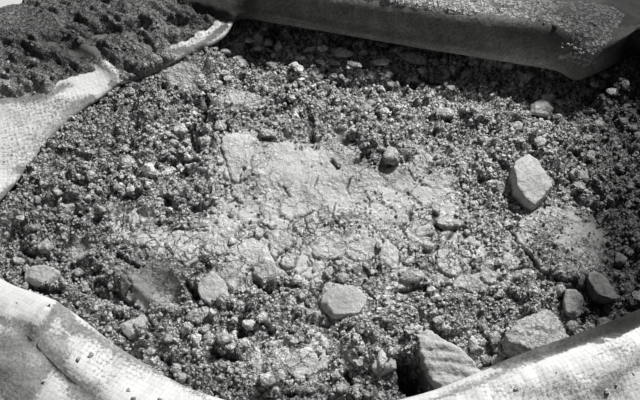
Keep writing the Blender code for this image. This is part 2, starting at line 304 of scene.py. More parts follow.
def oval(u, v, spot, power):
    """1 in the middle of an oval spot of the picture, falling softly to 0 outside it."""
    at_u, at_v, wide, deep = spot
    return np.exp(-((((u - at_u) / wide) ** 2 + ((v - at_v) / deep) ** 2) ** power))


def turned(points, degrees):
    """The plan's points in axes that are turned by this angle."""
    t = math.radians(degrees)
    return np.stack((points @ (math.cos(t), math.sin(t)), points @ (-math.sin(t), math.cos(t))), -1)


print("one step along x, seen in axes turned by 90 degrees:", turned(np.eye(2)[:1], 90).round(3))

# %% [markdown]
# ## The ground
# The heap is a low crown with broad rises and hollows. Over most of it lie clods of four sizes.
# Where damp has set the surface there is a crust instead, which has broken into plates. Both are
# worked out as heights over the plan, so that stones can be set on them later with no fitting.

# %% The heap's own rises and gaps
# Where crust lies, and where it is powdery: the pixel, the half sizes in pixels, the strength
CRUSTED = (
    (262, 226, 70, 34, 0.9), (430, 222, 40, 34, 0.8), (396, 292, 34, 16, 0.7),
    (300, 176, 84, 46, 1.0), (238, 160, 26, 32, 0.9), (215, 256, 78, 36, 1.0),
    (335, 235, 90, 50, 0.95), (430, 262, 48, 28, 0.9), (560, 248, 60, 48, 1.0),
    (405, 185, 60, 44, 0.75), (342, 302, 34, 20, 0.9), (296, 360, 48, 28, 0.8),
    (487, 275, 24, 22, 0.9), (140, 222, 34, 20, 0.7), (188, 74, 34, 18, 0.6),
    (150, 284, 40, 26, 0.95), (470, 160, 46, 30, 0.45), (78, 244, 24, 14, 0.6),
    (241, 98, 36, 16, 0.8),
)
POWDERY = (
    (294, 174, 40, 30, 1.0), (340, 200, 34, 16, 0.8), (238, 158, 17, 26, 0.9),
    (190, 72, 30, 16, 0.9), (262, 205, 26, 12, 0.7), (154, 284, 26, 20, 0.85),
    (345, 160, 26, 24, 0.5), (241, 98, 32, 13, 0.6),
)
# Low ridges and troughs that show one by one: height in mm, half width in pixels, then pixels
RIDGES = (
    (3.6, 7, (92, 258), (112, 270), (136, 287), (162, 308)),
    (-2.6, 13, (128, 258), (150, 280), (178, 306)), (2.2, 8, (138, 240), (168, 262), (184, 282)),
    (1.6, 6, (62, 234), (74, 232), (88, 236)), (-1.6, 7, (60, 262), (84, 284), (112, 300)),
    (2.0, 8, (200, 312), (226, 306), (240, 314)), (1.8, 7, (60, 208), (92, 224), (116, 236)),
    (-3.6, 6, (596, 206), (609, 226), (609, 250), (600, 276), (580, 290)),
)
# Gaps between clumps that show one by one, sunk and painted dark as shade: half width and depth in
# mm, then pixels
HOLLOWS = (
    (1.8, 3.5, (158, 160), (176, 162), (198, 158)), (1.6, 3, (196, 148), (190, 136), (194, 124)),
    (1.4, 3, (205, 92), (208, 104), (203, 116)), (1.8, 3.5, (274, 96), (282, 92), (290, 88)),
    (1.5, 3, (262, 110), (272, 114), (278, 112)), (1.5, 2.5, (310, 118), (314, 130), (312, 142)),
    (1.6, 3, (355, 164), (362, 156), (368, 160)), (1.3, 2.5, (332, 162), (338, 168)),
    (1.3, 2.5, (352, 104), (348, 112)), (1.5, 3, (376, 108), (378, 118)),
    (1.4, 2.5, (406, 162), (414, 158)), (1.6, 3, (460, 182), (468, 190), (476, 196)),
    (2.0, 4, (428, 116), (440, 120), (450, 116)), (1.2, 2.5, (96, 281), (116, 293), (137, 307)),
    (1.2, 2.5, (118, 254), (128, 262), (138, 268)), (1.6, 3, (188, 286), (194, 294), (204, 298)),
    (1.8, 3.5, (254, 280), (262, 288), (270, 291)), (2.2, 4, (395, 70), (406, 78), (416, 80)),
    (2.0, 3.5, (420, 72), (438, 74)), (2.2, 4, (503, 352), (511, 360), (520, 368)),
    (4.0, 6, (402, 362), (411, 380), (428, 398)), (5.0, 8, (408, 372), (420, 388)),
    (2.4, 4, (242, 332), (240, 320), (246, 312)), (1.6, 3, (148, 186), (140, 194), (128, 196)),
    (1.4, 3, (106, 190), (100, 200)), (1.5, 3, (172, 206), (166, 198)),
    (1.4, 2.5, (84, 206), (78, 214)), (1.6, 3, (434, 216), (432, 226), (440, 232)),
    (1.5, 3, (454, 232), (448, 240)), (1.6, 3, (396, 292), (410, 292), (424, 288)),
    (2.0, 3.5, (540, 106), (552, 112)), (1.8, 3, (488, 150), (496, 160), (508, 166)),
    (1.6, 3, (566, 150), (574, 152)), (2.2, 4, (566, 296), (572, 308), (580, 312)),
    (1.6, 3, (596, 300), (606, 304)), (1.6, 3, (20, 246), (30, 254)),
    (1.8, 3.5, (28, 284), (46, 288), (60, 286)), (1.4, 2.5, (150, 330), (158, 338)),
    (1.5, 3, (214, 350), (222, 356), (234, 356)), (1.5, 2.5, (282, 392), (300, 396)),
    (1.6, 3, (346, 372), (352, 382)), (1.5, 3, (262, 322), (270, 332)),
    (1.5, 3, (220, 312), (232, 310)),
)
# Clods of several sorts: the share of their height, the size in metres, the seed and the cover
CLODS = ((0.55, 0.019, 19, 0.55), (0.9, 0.0105, 21, 0.45), (1, 0.0062, 23, 0.6),
         (1, 0.0034, 25, 0.75))
print("ridges:", len(RIDGES), "hollows:", len(HOLLOWS), "sorts of clods:", len(CLODS))


# %% The heap
def hollowed(points):
    """How deep the hollows between clumps are at each point in mm, and how much of one lies there,
    which is painted dark as shade.
    """
    jagged = points + 1.0 * MM * drift(points, 0.004, 15)
    depth, share = np.zeros(len(points)), np.zeros(len(points))
    for half, deep, *line in HOLLOWS:
        inside = on_line(jagged, in_plan(line), half * MM, 4)
        depth, share = np.maximum(depth, deep * inside), np.maximum(share, inside)
    return depth, share


def heap(points):
    """The broad shape of the cement's surface."""
    x, y = points.T
    away = np.hypot(x / (SACK_LENGTH / 2), y / (SACK_WIDTH / 2))
    height = CEMENT_LEVEL + CROWN - (CROWN + RIM_SINK) * np.minimum(away / 0.62, 1) ** 3
    for at_x, at_y, tall, wide, deep in SWELLS:
        square = ((x - at_x * MM) / (wide * MM)) ** 2 + ((y - at_y * MM) / (deep * MM)) ** 2
        height = height + tall * MM * np.exp(-square / 2)
    for tall, half, *line in RIDGES:
        height = height + tall * MM * on_line(points, in_plan(line), half * ACROSS)
    return height + 0.5 * MM * noise(points, 0.030, 3, 2) + 0.6 * MM * noise(points, 0.012, 5, 2)


def crusted(points):
    """Where the crust lies, from 0 to 1."""
    return np.clip(patches(points, CRUSTED) + 0.20 * noise(points, 0.016, 11, 3), 0, 1)


def clods(points, size, seed, cover):
    """Rounded clods that fill their cells, some tall and some missing."""
    bent = points + 0.26 * size * drift(points, size * 0.5, seed + 5)
    nearest, following, own, _ = cells(bent, size, seed)
    edge = np.clip((following - nearest) / (0.55 * size), 0, 1)
    return size * (own > 1 - cover) * (0.10 + 0.32 * own) * np.sqrt(1 - (1 - edge) ** 2)


def mixed_clods(points, sorts):
    """Clods of several sorts, one on top of the other."""
    return sum(share * clods(points, *sort) for share, *sort in sorts)


def loose_parts(points):
    """The height of the loose cement, and from 0 to 1 how much painted shade each point gets, deep
    between clods and in the hollows.
    """
    set_share = crusted(points)
    granular = 1 - 0.86 * soft_step(set_share * 1.6 - 0.3)
    rough = mixed_clods(points, CLODS) + 0.9 * MM * noise(points, 0.005, 27, 3, 0.7) - 3.2 * MM
    sunk = 1.5 * MM * soft_step(set_share * 3 - 1.1)
    depth, gap = hollowed(points)
    height = heap(points) + granular * rough - sunk - depth * MM
    # Painted shade, darker deep between clods and in the hollows
    low = 0.9 * np.clip(-rough / MM / 1.8 - 0.75, 0, 1) * granular
    return height, np.maximum(low, 0.9 * gap)


def loose_ground(points):
    """The height of the loose cement alone."""
    return loose_parts(points)[0]


heap_top = float(heap(HEAP_CENTRE[None])[0])
print("the heap's middle is", round(heap_top / MM, 1), "mm high")

# %% [markdown]
# The crust is one skin that dried and broke where it lay. Each cell of a bent pattern is one plate,
# a little higher or lower than its neighbours and a little tilted, and it ends in a crack that is
# painted dark as shade. The largest plates are known one by one from the picture, so they are laid
# over that pattern as flat pieces with their own tilt.

# %% Plates and cracks
# The pixel, the half sizes in pixels, the turn in degrees, the lift in mm, the rise along x and y
PLATES = (
    (560, 246, 44, 37, -8, 2.2, -0.05, -0.03), (236, 158, 15, 25, 10, 1.0, 0.02, 0.03),
    (189, 243, 21, 12, -10, 0.8, 0.03, 0.02), (187, 257, 13, 9, 5, 1.5, -0.04, 0.05),
    (255, 254, 20, 14, 8, 0.9, 0.02, -0.02), (217, 247, 13, 8, -12, 1.2, 0.05, 0.03),
    (272, 272, 17, 8, 10, 1.1, -0.02, 0.05), (286, 262, 9, 8, 0, 1.3, 0.06, 0.01),
    (217, 285, 13, 13, 12, 1.2, 0.06, 0.05), (232, 271, 15, 12, -30, 1.8, 0.03, 0.08),
    (340, 301, 22, 14, -10, 1.6, 0.04, 0.05), (390, 257, 11, 13, 20, 1.3, 0.05, 0.03),
    (407, 259, 6, 7, 0, 1.1, -0.05, 0.05), (446, 262, 10, 13, 12, 1.3, 0.05, -0.02),
    (468, 286, 13, 11, -8, 1.4, -0.03, 0.06), (489, 274, 9, 12, 8, 1.6, 0.06, 0.03),
    (511, 262, 11, 8, 18, 1.1, 0.1, -0.03), (521, 277, 14, 6, 14, 0.6, 0.02, 0.12),
    (280, 352, 14, 10, -8, 1.2, 0.04, 0.02), (302, 364, 15, 11, 12, 1.4, -0.03, 0.04),
    (254, 361, 9, 6, -5, 1.1, 0.05, 0.03), (133, 215, 8, 7, 10, 1.2, 0.05, 0.05),
    (146, 213, 8, 8, -5, 1.4, -0.05, 0.04), (145, 241, 15, 9, -12, 1.3, 0.03, 0.05),
    (74, 243, 12, 8, -14, 1.5, 0.05, 0.06), (203, 175, 8, 10, 10, 0.9, 0.04, 0.06),
    (186, 194, 10, 6, 0, 1.2, -0.04, 0.07), (209, 193, 7, 7, 0, 0.9, 0.05, 0.03),
    (300, 205, 20, 12, 8, 0.5, 0.01, 0.02), (360, 250, 14, 10, -14, 0.9, -0.03, 0.04),
    (330, 250, 16, 11, 10, 0.8, 0.03, 0.02), (310, 228, 13, 10, 22, 0.7, -0.02, 0.05),
    (425, 228, 14, 9, 4, 0.9, 0.04, 0.02),
)
# Cracks that show one by one: half width in mm, then pixels
CRACKS = (
    (1.5, (508, 228), (513, 240), (520, 252), (528, 264), (540, 276), (556, 284), (574, 284)),
    (0.8, (374, 230), (379, 241), (384, 243), (379, 253), (372, 266)),
    (0.7, (403, 255), (398, 266)), (0.7, (437, 250), (434, 262), (432, 274)),
    (0.6, (307, 218), (303, 238), (299, 257)), (0.6, (269, 247), (275, 262)),
    (0.6, (287, 252), (279, 266), (290, 276)), (0.6, (243, 226), (258, 224), (276, 228)),
    (0.7, (225, 164), (229, 174), (234, 184)), (0.6, (239, 184), (245, 171)),
    (0.7, (221, 150), (226, 162), (222, 170)), (0.7, (268, 346), (266, 360)),
    (0.8, (290, 344), (283, 359), (281, 380)), (0.8, (510, 276), (530, 287), (550, 289)),
    (0.6, (226, 204), (234, 201), (243, 206)), (0.7, (166, 228), (182, 231), (206, 228)),
    (0.5, (278, 184), (285, 190), (291, 199)), (0.6, (335, 205), (331, 217), (338, 228)),
    (0.5, (352, 178), (347, 190), (351, 201)), (0.6, (412, 158), (408, 170), (414, 181)),
)
# Finer clods that lie on the crust, listed as above
GRIT = ((0.55, 0.0046, 64, 0.45), (0.55, 0.0031, 65, 0.6), (0.6, 0.0019, 66, 0.8))
CELL = 0.0135
PLATE_SQUARENESS = 2.7
# The one large plate whose top is gritty, and the way to the light in the plan
ROUGH_PLATE = (560, 248, 50, 42, 1.0)
LIGHT_WAY = (0.59, 0.81)
print("plates and cracks set one by one:", len(PLATES), len(CRACKS))


# %% The crust
def crust_height(points):
    """The height of the crust's top, then from 0 to 1 how much of it is there, how deep in a crack
    each point lies, which is painted dark as shade, and how smooth it is."""
    present, powdery = crusted(points), patches(points, POWDERY)
    level = heap(points) + 0.35 * MM * noise(points, 0.007, 41, 3)
    level = level + 0.14 * MM * noise(points, 0.0018, 43, 2)
    firm = 0.7 * soft_step((present - 0.5) * 3) * soft_step(0.7 + 0.9 * noise(points, 0.016, 58, 2))
    smooth = np.maximum(powdery, firm)

    # The pattern of plates that are all much alike
    wander = drift(points, 0.008, 45, 4, 0.6)
    bent = points + 2.6 * MM * wander
    nearest, following, own, middle = cells(bent, CELL, 47)
    edge = (following - nearest) / 2
    width = 0.05 + 0.75 * noise(points, 0.015, 49, 2) + 0.25 * (1 - powdery)
    width = MM * np.clip(width, 0, 0.7) * (1 - 0.8 * powdery)
    crack = (1 - soft_step(edge / np.maximum(width, 1e-6) - 0.2)) * (width > 0.02 * MM)
    tilt_way = np.array((math.cos(9), math.sin(9)))
    lift = (own - 0.5) * 1.0 + ((bent - middle) @ tilt_way) / MM * 0.10 * (own * 7 % 1 - 0.5)
    lift *= 1 - 0.8 * powdery
    kept = hashed(np.floor(middle / CELL).astype(np.int64), 53)
    here = soft_step((present + 0.30 * (kept - 0.5) - 0.38) * 7)
    top = level + lift * MM * soft_step(edge / (0.9 * MM)) - crack * 1.8 * MM

    # The plates that are known one by one, each with a groove on the side away from the light that
    # is painted dark as shade
    ragged = 0.7 * noise(points, 0.007, 57, 2)
    for u, v, wide, deep, turn, rise, east, north in PLATES:
        centre = seen(u, v)
        off = points + 1.5 * MM * wander - centre
        share = np.abs(turned(off, turn) / np.array((wide * ACROSS, deep * ALONG)))
        share = ((share**PLATE_SQUARENESS).sum(-1)) ** (1 / PLATE_SQUARENESS)
        close = share < 1.5
        plane = level + 0.45 * rise * MM + (points - centre) @ np.array((east, north))
        inside = soft_step((1.0 - share) * 14)
        shaded = 0.5 - 0.5 * (off @ LIGHT_WAY) / np.maximum(np.hypot(*off.T), 1e-9)
        moat = soft_step(1 - np.abs(share - 1.035) * min(wide, deep) / 1.5)
        moat = moat * soft_step(0.15 + 0.75 * shaded + ragged) * (1 - 0.5 * powdery)
        top = np.where(close, top * (1 - inside) + plane * inside - moat * 1.5 * MM, top)
        crack = np.where(close, np.maximum(crack * (1 - inside), moat), crack)
        here = np.where(close, np.maximum(here, inside), here)
        smooth = np.where(close, np.maximum(smooth, 0.8 * inside), smooth)

    depth, gap = hollowed(points)
    smooth = smooth * (1 - 0.8 * patches(points, (ROUGH_PLATE,)))
    top = top + (mixed_clods(points, GRIT) - 0.3 * MM) * (1 - smooth) - depth * MM
    crack = np.maximum(crack, gap)
    jagged = points + 0.8 * MM * drift(points, 0.003, 55)
    for half, *line in CRACKS:
        away = near(jagged, in_plan(line))[0]
        split = 1 - soft_step(away / (half * MM * 0.8) - 0.2)
        top = top - 2.6 * MM * split
        crack = np.maximum(crack, split)
    return top, here, np.clip(crack, 0, 1), smooth


crust_top = float(crust_height(HEAP_CENTRE[None])[0][0])
print("the crust's middle is", round(crust_top / MM, 1), "mm high")

# %% [markdown]
# ## The heap's mesh
# By hand this is a grid whose faces outside the mouth are deleted, whose points are raised to the
# ground's height, and whose edge is then extruded ring by ring down inside the sack. A grid beats
# sculpting here, because every point's height can be asked of the functions above.

# %% Grids and finished pieces
def alone():
    """Leaves object mode with nothing selected."""
    if bpy.context.mode != "OBJECT":
        bpy.ops.object.mode_set(mode="OBJECT")
    bpy.ops.object.select_all(action="DESELECT")


def read(parts, name, width=1, kind=np.float32):
    """One value of every part of a mesh, such as of its vertices, as an array."""
    values = np.empty(len(parts) * width, kind)
    parts.foreach_get(name, values)
    return values.reshape(-1, width) if width > 1 else values


def spots_of(piece):
    """The piece's points."""
    return read(piece.data.vertices, "co", 3).astype(float)


def move_spots(piece, points):
    """Puts the piece's points at new places."""
    piece.data.vertices.foreach_set("co", np.asarray(points, np.float32).ravel())
    piece.data.update()


def picked(piece):
    """Which points are selected."""
    return read(piece.data.vertices, "select", kind=bool)


def note(piece, name, values):
    """Keeps one number for each point of the piece, for its material."""
    kept = piece.data.attributes.new(name, "FLOAT", "POINT")
    kept.data.foreach_set("value", np.asarray(values, np.float32).ravel())


def grid_piece(name, low, high, pitch, keep):
    """A flat grid of this pitch with only the faces whose middles keep() picks."""
    alone()
    count = [max(2, round((b - a) / pitch)) for a, b in zip(low, high)]
    bpy.ops.mesh.primitive_grid_add(x_subdivisions=count[0], y_subdivisions=count[1], size=1)
    piece = bpy.context.object
    piece.name = piece.data.name = name
    points = spots_of(piece)
    for axis in (0, 1):
        points[:, axis] = low[axis] + (points[:, axis] + 0.5) * (high[axis] - low[axis])
    move_spots(piece, points)
    corners = read(piece.data.loops, "vertex_index", kind=np.int32).reshape(-1, 4)
    bpy.context.tool_settings.mesh_select_mode = (False, False, True)
    piece.data.polygons.foreach_set("select", ~keep(points[corners].mean(1)[:, :2]))
    bpy.ops.object.mode_set(mode="EDIT")
    bpy.ops.mesh.delete(type="FACE")
    bpy.ops.object.mode_set(mode="OBJECT")
    return piece


print("grid tools ready")


# %% Editing tools
def edit_faces(piece):
    """Enters edit mode with all of the piece's faces selected."""
    alone()
    piece.select_set(True)
    bpy.context.view_layer.objects.active = piece
    bpy.ops.object.mode_set(mode="EDIT")
    bpy.ops.mesh.select_mode(type="FACE")
    bpy.ops.mesh.select_all(action="SELECT")


def face_outwards():
    """Turns every face of the edited piece outwards, and leaves edit mode."""
    bpy.ops.mesh.select_all(action="SELECT")
    bpy.ops.mesh.normals_make_consistent(inside=False)
    bpy.ops.object.mode_set(mode="OBJECT")


def open_edge(piece):
    """Selects the piece's open edge."""
    edit_faces(piece)
    bpy.ops.mesh.region_to_loop()


def extrude_edge(piece, place):
    """Extrudes the piece's open edge by one ring, and puts each new point where place() says."""
    bpy.ops.object.mode_set(mode="OBJECT")
    bpy.ops.object.mode_set(mode="EDIT")
    bpy.ops.mesh.extrude_edges_move()
    bpy.ops.object.mode_set(mode="OBJECT")
    points, flags = spots_of(piece), picked(piece)
    points[flags] = place(points[flags])
    move_spots(piece, points)


def close_below(piece):
    """Gathers the last ring into one point, which closes the piece."""
    bpy.ops.object.mode_set(mode="EDIT")
    bpy.ops.mesh.extrude_edges_move()
    bpy.ops.mesh.merge(type="CENTER")
    face_outwards()


print("editing tools ready")

# %% The stations round the mouth
STATIONS = 620
angles = np.arange(STATIONS) * 2 * math.pi / STATIONS
facing_way = np.degrees(angles)
rim_x, rim_y, rise, undercut, cuff, billow, swollen, bend = mouth_at(facing_way)
rim = np.stack((rim_x, rim_y), -1)
edge = outline(angles)
reach = np.hypot(*(edge - rim).T)
outwards = (edge - rim) / reach[:, None]
CONTACT = CEMENT_LEVEL - RIM_SINK / 3
crest = CEMENT_LEVEL + rise
meeting = rim + outwards * undercut[:, None]
nose = rim - outwards * (NOSE_SHARE * bend)[:, None]


def top_height(distance):
    """The height of the top face's inner side, this far out from the rim at each station."""
    t = np.clip(distance / undercut, None, 1)
    over = crest + (CONTACT - crest) * t * (2 - t)
    u = np.clip((distance - undercut) / (reach - undercut), 0, 1)
    foot = SEAM_HEIGHT + FIN_MOUTH / 2
    full = (1 - u**SHOULDER_FULLNESS) ** (1 / SHOULDER_FULLNESS)
    return np.where(distance <= undercut, over, foot + (CONTACT - foot) * full)


def place(distance, height):
    """Points this far out from the rim and this high, one at each station."""
    flat = rim + outwards * np.broadcast_to(distance, STATIONS)[:, None]
    return np.column_stack((flat, np.broadcast_to(height, STATIONS)))


def seen_from_middle(points):
    """The direction of each point from the heap's middle, and its distance."""
    off = (points[:, :2] - HEAP_CENTRE).T
    return np.arctan2(off[1], off[0]), np.hypot(*off)


def zone(start, end, soft=7):
    """1 for stations that face between two directions, with soft ends."""
    return soft_step((facing_way - start) / soft + 0.5) * soft_step((end - facing_way) / soft + 0.5)


def by_turn(turn, where, values):
    """What is known in some directions, for other directions."""
    return np.interp(turn, where, values, period=2 * math.pi)


(meeting_turn, meeting_away), (nose_turn, nose_away) = map(seen_from_middle, (meeting, nose))


def mouth_share(points):
    """0 at the heap's middle and 1 where the cement meets the fabric."""
    turn, away = seen_from_middle(points)
    return away / by_turn(turn, meeting_turn, meeting_away)


print("the mouth is", *(round(float(side), 3) for side in np.ptp(meeting, axis=0)), "m")

# %% The heap's mesh
banked = zone(122, 182, 12)


def to_fabric(points, height, slack=0.0008):
    """Fits the ground to the fabric: it is banked up against the left rim, dips below the folds
    and meets the top face."""
    turn, away = seen_from_middle(points)
    meet_at = by_turn(turn, meeting_turn, meeting_away)
    nose_at, top, fold, bank = (
        by_turn(turn, nose_turn, values) for values in (nose_away, crest, bend, banked))
    inside = nose_at - away
    raised = top + fold * 0.55 + (height - heap(points)) * 0.7
    share = bank * soft_step(1 - (inside - 0.003) / 0.020) * (inside > 0.0006)
    height = height * (1 - share) + np.maximum(height, raised) * share
    out = np.clip((away - nose_at + 0.0006) / np.maximum(meet_at - nose_at, 1e-4), 0, 1)
    ceiling = CONTACT + (top - CONTACT) * (1 - out) ** 2 - slack
    height = np.where(out > 0, np.minimum(height, ceiling), height)
    blend = soft_step((out - 0.75) / 0.25)
    return height * (1 - blend) + (CONTACT - slack) * blend


def on_ring(ring):
    """Puts points on a closed ring, each in its own direction from the heap's middle."""
    where = seen_from_middle(ring)[0]
    return lambda points: np.column_stack(
        [by_turn(seen_from_middle(points)[0], where, ring[:, k]) for k in range(3)])


HEAP_PITCH, MARGIN = 0.00118, 0.002
heap_piece = grid_piece("loose_cement", meeting.min(0) - MARGIN, meeting.max(0) + MARGIN,
                        HEAP_PITCH, lambda p: mouth_share(p) < 1)
spots = spots_of(heap_piece)
height, painted_shade_between_clods = loose_parts(spots[:, :2])
spots[:, 2] = to_fabric(spots[:, :2], height)
move_spots(heap_piece, spots)
# The gap attribute is painted shade: darker deep between clods and in the hollows
note(heap_piece, "gap", painted_shade_between_clods)
note(heap_piece, "grain", 1 - 0.6 * soft_step(crusted(spots[:, :2]) * 1.6 - 0.3))
open_edge(heap_piece)
for share in (0.42, 0.74, 0.93):
    distance = undercut + (reach - undercut) * share
    extrude_edge(heap_piece, on_ring(place(distance - 0.001, top_height(distance) - 0.001)))
for swing in np.radians((88, 60, 30, 0)):
    low = FABRIC + 0.0006 + (SEAM_HEIGHT - FIN_MOUTH / 2 - FABRIC) * (1 - math.cos(swing))
    flat = outline(angles, UNDERSIDE_ROUNDING * (1 - math.sin(swing)) + 0.003)
    extrude_edge(heap_piece, on_ring(np.column_stack((flat, np.full(STATIONS, low)))))
close_below(heap_piece)
print("heap:", len(heap_piece.data.polygons), "faces")

# %% [markdown]
# ## The crust's mesh
# The crust is a finer grid over the places where the surface has set. Where a plate is missing the
# grid dives under the loose cement, so plates end in an edge with a gap beside it, painted dark as
# shade. One skin with cracks in it is nearer to the real thing than many separate tiles would be.

# %% The crust's mesh
# The grid's pitch, and how deep it dives under the loose cement where a plate is missing
CRUST_PITCH = 0.00068
DIVE = 1.6 * MM


def ground(points):
    """The height of whatever lies on top: crust or loose cement."""
    loose = loose_ground(points)
    top, here, *_ = crust_height(points)
    return to_fabric(points, np.maximum(loose, (loose - DIVE) * (1 - here) + top * here), 0.0)


crust_low, crust_high = seen(110, 322), seen(626, 52)
crust_low[1] = seen(300, 402)[1]
crust_piece = grid_piece("cracked_crust", crust_low, crust_high, CRUST_PITCH,
                         lambda p: (patches(p, CRUSTED) > 0.42) & (mouth_share(p) < 0.94))
spots = spots_of(crust_piece)
flat = spots[:, :2]
top, here, crack, smooth = crust_height(flat)
spots[:, 2] = (loose_ground(flat) - DIVE) * (1 - here) + top * here
move_spots(crust_piece, spots)
cracked = here * (1 - 0.75 * patches(flat, POWDERY))
gritty = 0.85 * (1 - smooth) * soft_step(0.85 + noise(flat, 0.012, 59, 2))
# The gap attribute is painted shade, darker in cracks and where a plate is missing; the finish also
# paints finer cracks dark as shade where the crust is cracked
note(crust_piece, "gap", np.maximum(crack, 0.8 * (1 - here)))
note(crust_piece, "cracked", cracked * soft_step(0.55 + 1.1 * noise(flat, 0.022, 67, 2)))
note(crust_piece, "grain", 0.10 + gritty)
open_edge(crust_piece)
extrude_edge(crust_piece, lambda p: np.column_stack(
    (p[:, :2], np.minimum(loose_ground(p[:, :2]), p[:, 2]) - 0.006)))
close_below(crust_piece)
print("crust:", len(crust_piece.data.polygons), "faces")

# %% [markdown]
# ## The broken lumps
# Each larger lump is a block that broke from hardened cement, so it has flat, angular breaks and
# a gritty skin. By hand it starts as a box, planes slice off its corners, a voxel remesh evens
# out its faces and three displacements roughen it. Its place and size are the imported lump's.

# %% The lumps' sizes and breaks
# In mm the place x and y, the depth that is buried and the sizes, then turn and tilt, and a seed
LUMPS = {
    "big_lump": (106, 26, 6, 23, 34, 17, 2, 10, 3),
    "leaning_slab": (54, -79, 9, 47, 28, 18, -46, 12, 5),
    "rough_lump": (100, -65, 11, 36, 28, 25, 10, -6, 8),
    "dark_lump": (139, -34, 6, 14, 17, 13, 15, 0, 11),
    "wedge_lump": (123, -43, 4, 10, 17, 11, -10, 8, 13),
    "far_lump": (124, 86, 4, 14, 11, 9, -8, 0, 17), "pale_lump": (22, -74, 4, 13, 12, 9, 25, 0, 19),
    "loose_flake": (-67, -35, 3, 15, 20, 7, 24, 8, 23),
    "smooth_plate": (2, -43, 3, 25, 20, 7, -10, -8, 29),
    "left_lump": (-106, -56, 6, 14, 13, 11, 30, 0, 31),
    "long_flake": (-160, -25, 2, 19, 11, 6, 8, 6, 37),
    "side_lump": (139, 36, 4, 11, 10, 9, 40, 0, 41),
}
# Corners that show in the picture: the pixel, and how far up the lump each one lies as a share
OUTLINES = {
    "big_lump": (
        (529, 153, 1), (538, 160, 1), (548, 173, 1), (553, 183, 0.9), (542, 202, 0.5),
        (531, 213, 0.1), (522, 208, 0.05), (512, 196, 0.1), (511, 173, 0.5), (515, 162, 0.9),
    ),
    "leaning_slab": (
        (422, 318, 0.8), (432, 324, 0.9), (458, 348, 1), (481, 362, 1), (500, 380, 0.9),
        (480, 408, 0.3), (450, 408, 0.1), (436, 392, 0), (422, 377, 0), (416, 354, 0.05),
        (412, 338, 0.3), (414, 325, 0.6),
    ),
    "rough_lump": (
        (502, 340, 0.4), (519, 320, 0.9), (550, 306, 1), (561, 320, 0.9), (569, 337, 0.6),
        (562, 352, 0.2), (520, 364, 0), (504, 353, 0.1),
    ),
}
# Breaks across their tops: the direction that a break faces (turn, slope) and its depth as a share
BREAKS = {
    "big_lump": ((90, 78, 0.90), (225, 62, 0.97), (20, 68, 0.95)),
    "leaning_slab": ((20, 74, 0.86), (215, 58, 0.90), (120, 66, 0.94)),
    "rough_lump": ((70, 64, 0.90), (240, 55, 0.86), (350, 60, 0.90)),
}
# How rough each lump's skin is. Small ones are smoother and have a finer mesh
ROUGHEST = {"rough_lump": 1.3, "big_lump": 0.6, "leaning_slab": 0.8, "smooth_plate": 0.35}
SMALL, SMALL_ROUGH, PLAIN_ROUGH = 22, 0.5, 0.8
SMALL_VOXEL, VOXEL = 0.65, 0.85
# How many breaks the other lumps get by chance, and how far an outline's cuts lean inwards
CHANCE_BREAKS = 15
LEAN = 0.16
# The skin's three displacements: the texture, its size in metres, its height in mm, its own number
SKIN = (("CLOUDS", 0.011, 2.0, 1), ("CLOUDS", 0.0036, 1.6, 2), ("VORONOI", 0.0022, 0.9, 3))
print("lumps:", len(LUMPS), "with an outline of their own:", len(OUTLINES))


# %% Breaking a block
def add_modifier(piece, kind, **settings):
    """Adds one modifier and applies it."""
    made = piece.modifiers.new(kind.lower(), kind)
    for key, value in settings.items():
        setattr(made, key, value)
    bpy.context.view_layer.objects.active = piece
    bpy.ops.object.modifier_apply(modifier=made.name)


def lumpy(kind, size, seed):
    """A built-in texture that a displacement reads."""
    made = bpy.data.textures.new(f"{kind}_{seed}", kind)
    made.noise_scale = size
    if kind == "CLOUDS":
        made.noise_depth = 3
    return made


def shift(piece, along):
    """Moves the piece along x, where its texture is another one."""
    for corner in piece.data.vertices:
        corner.co += Vector((along, 0, 0))


def cut_off(point, facing):
    """Cuts away what lies beyond a plane, and closes the cut."""
    bpy.ops.mesh.select_all(action="SELECT")
    bpy.ops.mesh.bisect(plane_co=point, plane_no=facing, use_fill=True, clear_outer=True)


def outline_cuts(corners, floor_height, tall, into):
    """Steep planes through each pair of neighbouring corners, in the block's own frame, as a
    point and the way it faces."""
    placed = []
    for u, v, share in corners:
        height = floor_height + tall * share
        placed.append(Vector((*seen(u, v, height), height)))
    middle = sum(placed, Vector()) / len(placed)
    cuts = []
    for a, b in zip(placed, placed[1:] + placed[:1]):
        run = (b - a).normalized()
        facing = Vector((run.y, -run.x, 0)).normalized()
        if facing.dot((a + b) / 2 - middle) < 0:
            facing = -facing
        facing.z = LEAN
        facing = (facing - run * facing.dot(run)).normalized()
        cuts.append((into @ ((a + b) / 2), into.to_3x3() @ facing))
    return cuts


def chance_breaks(rolled):
    """Breaks that face any way, for a lump with no outline of its own."""
    return [(rolled.uniform(0, 360), math.degrees(math.asin(rolled.uniform(-0.9, 0.95))),
             rolled.uniform(0.76, 0.96)) for _ in range(CHANCE_BREAKS)]


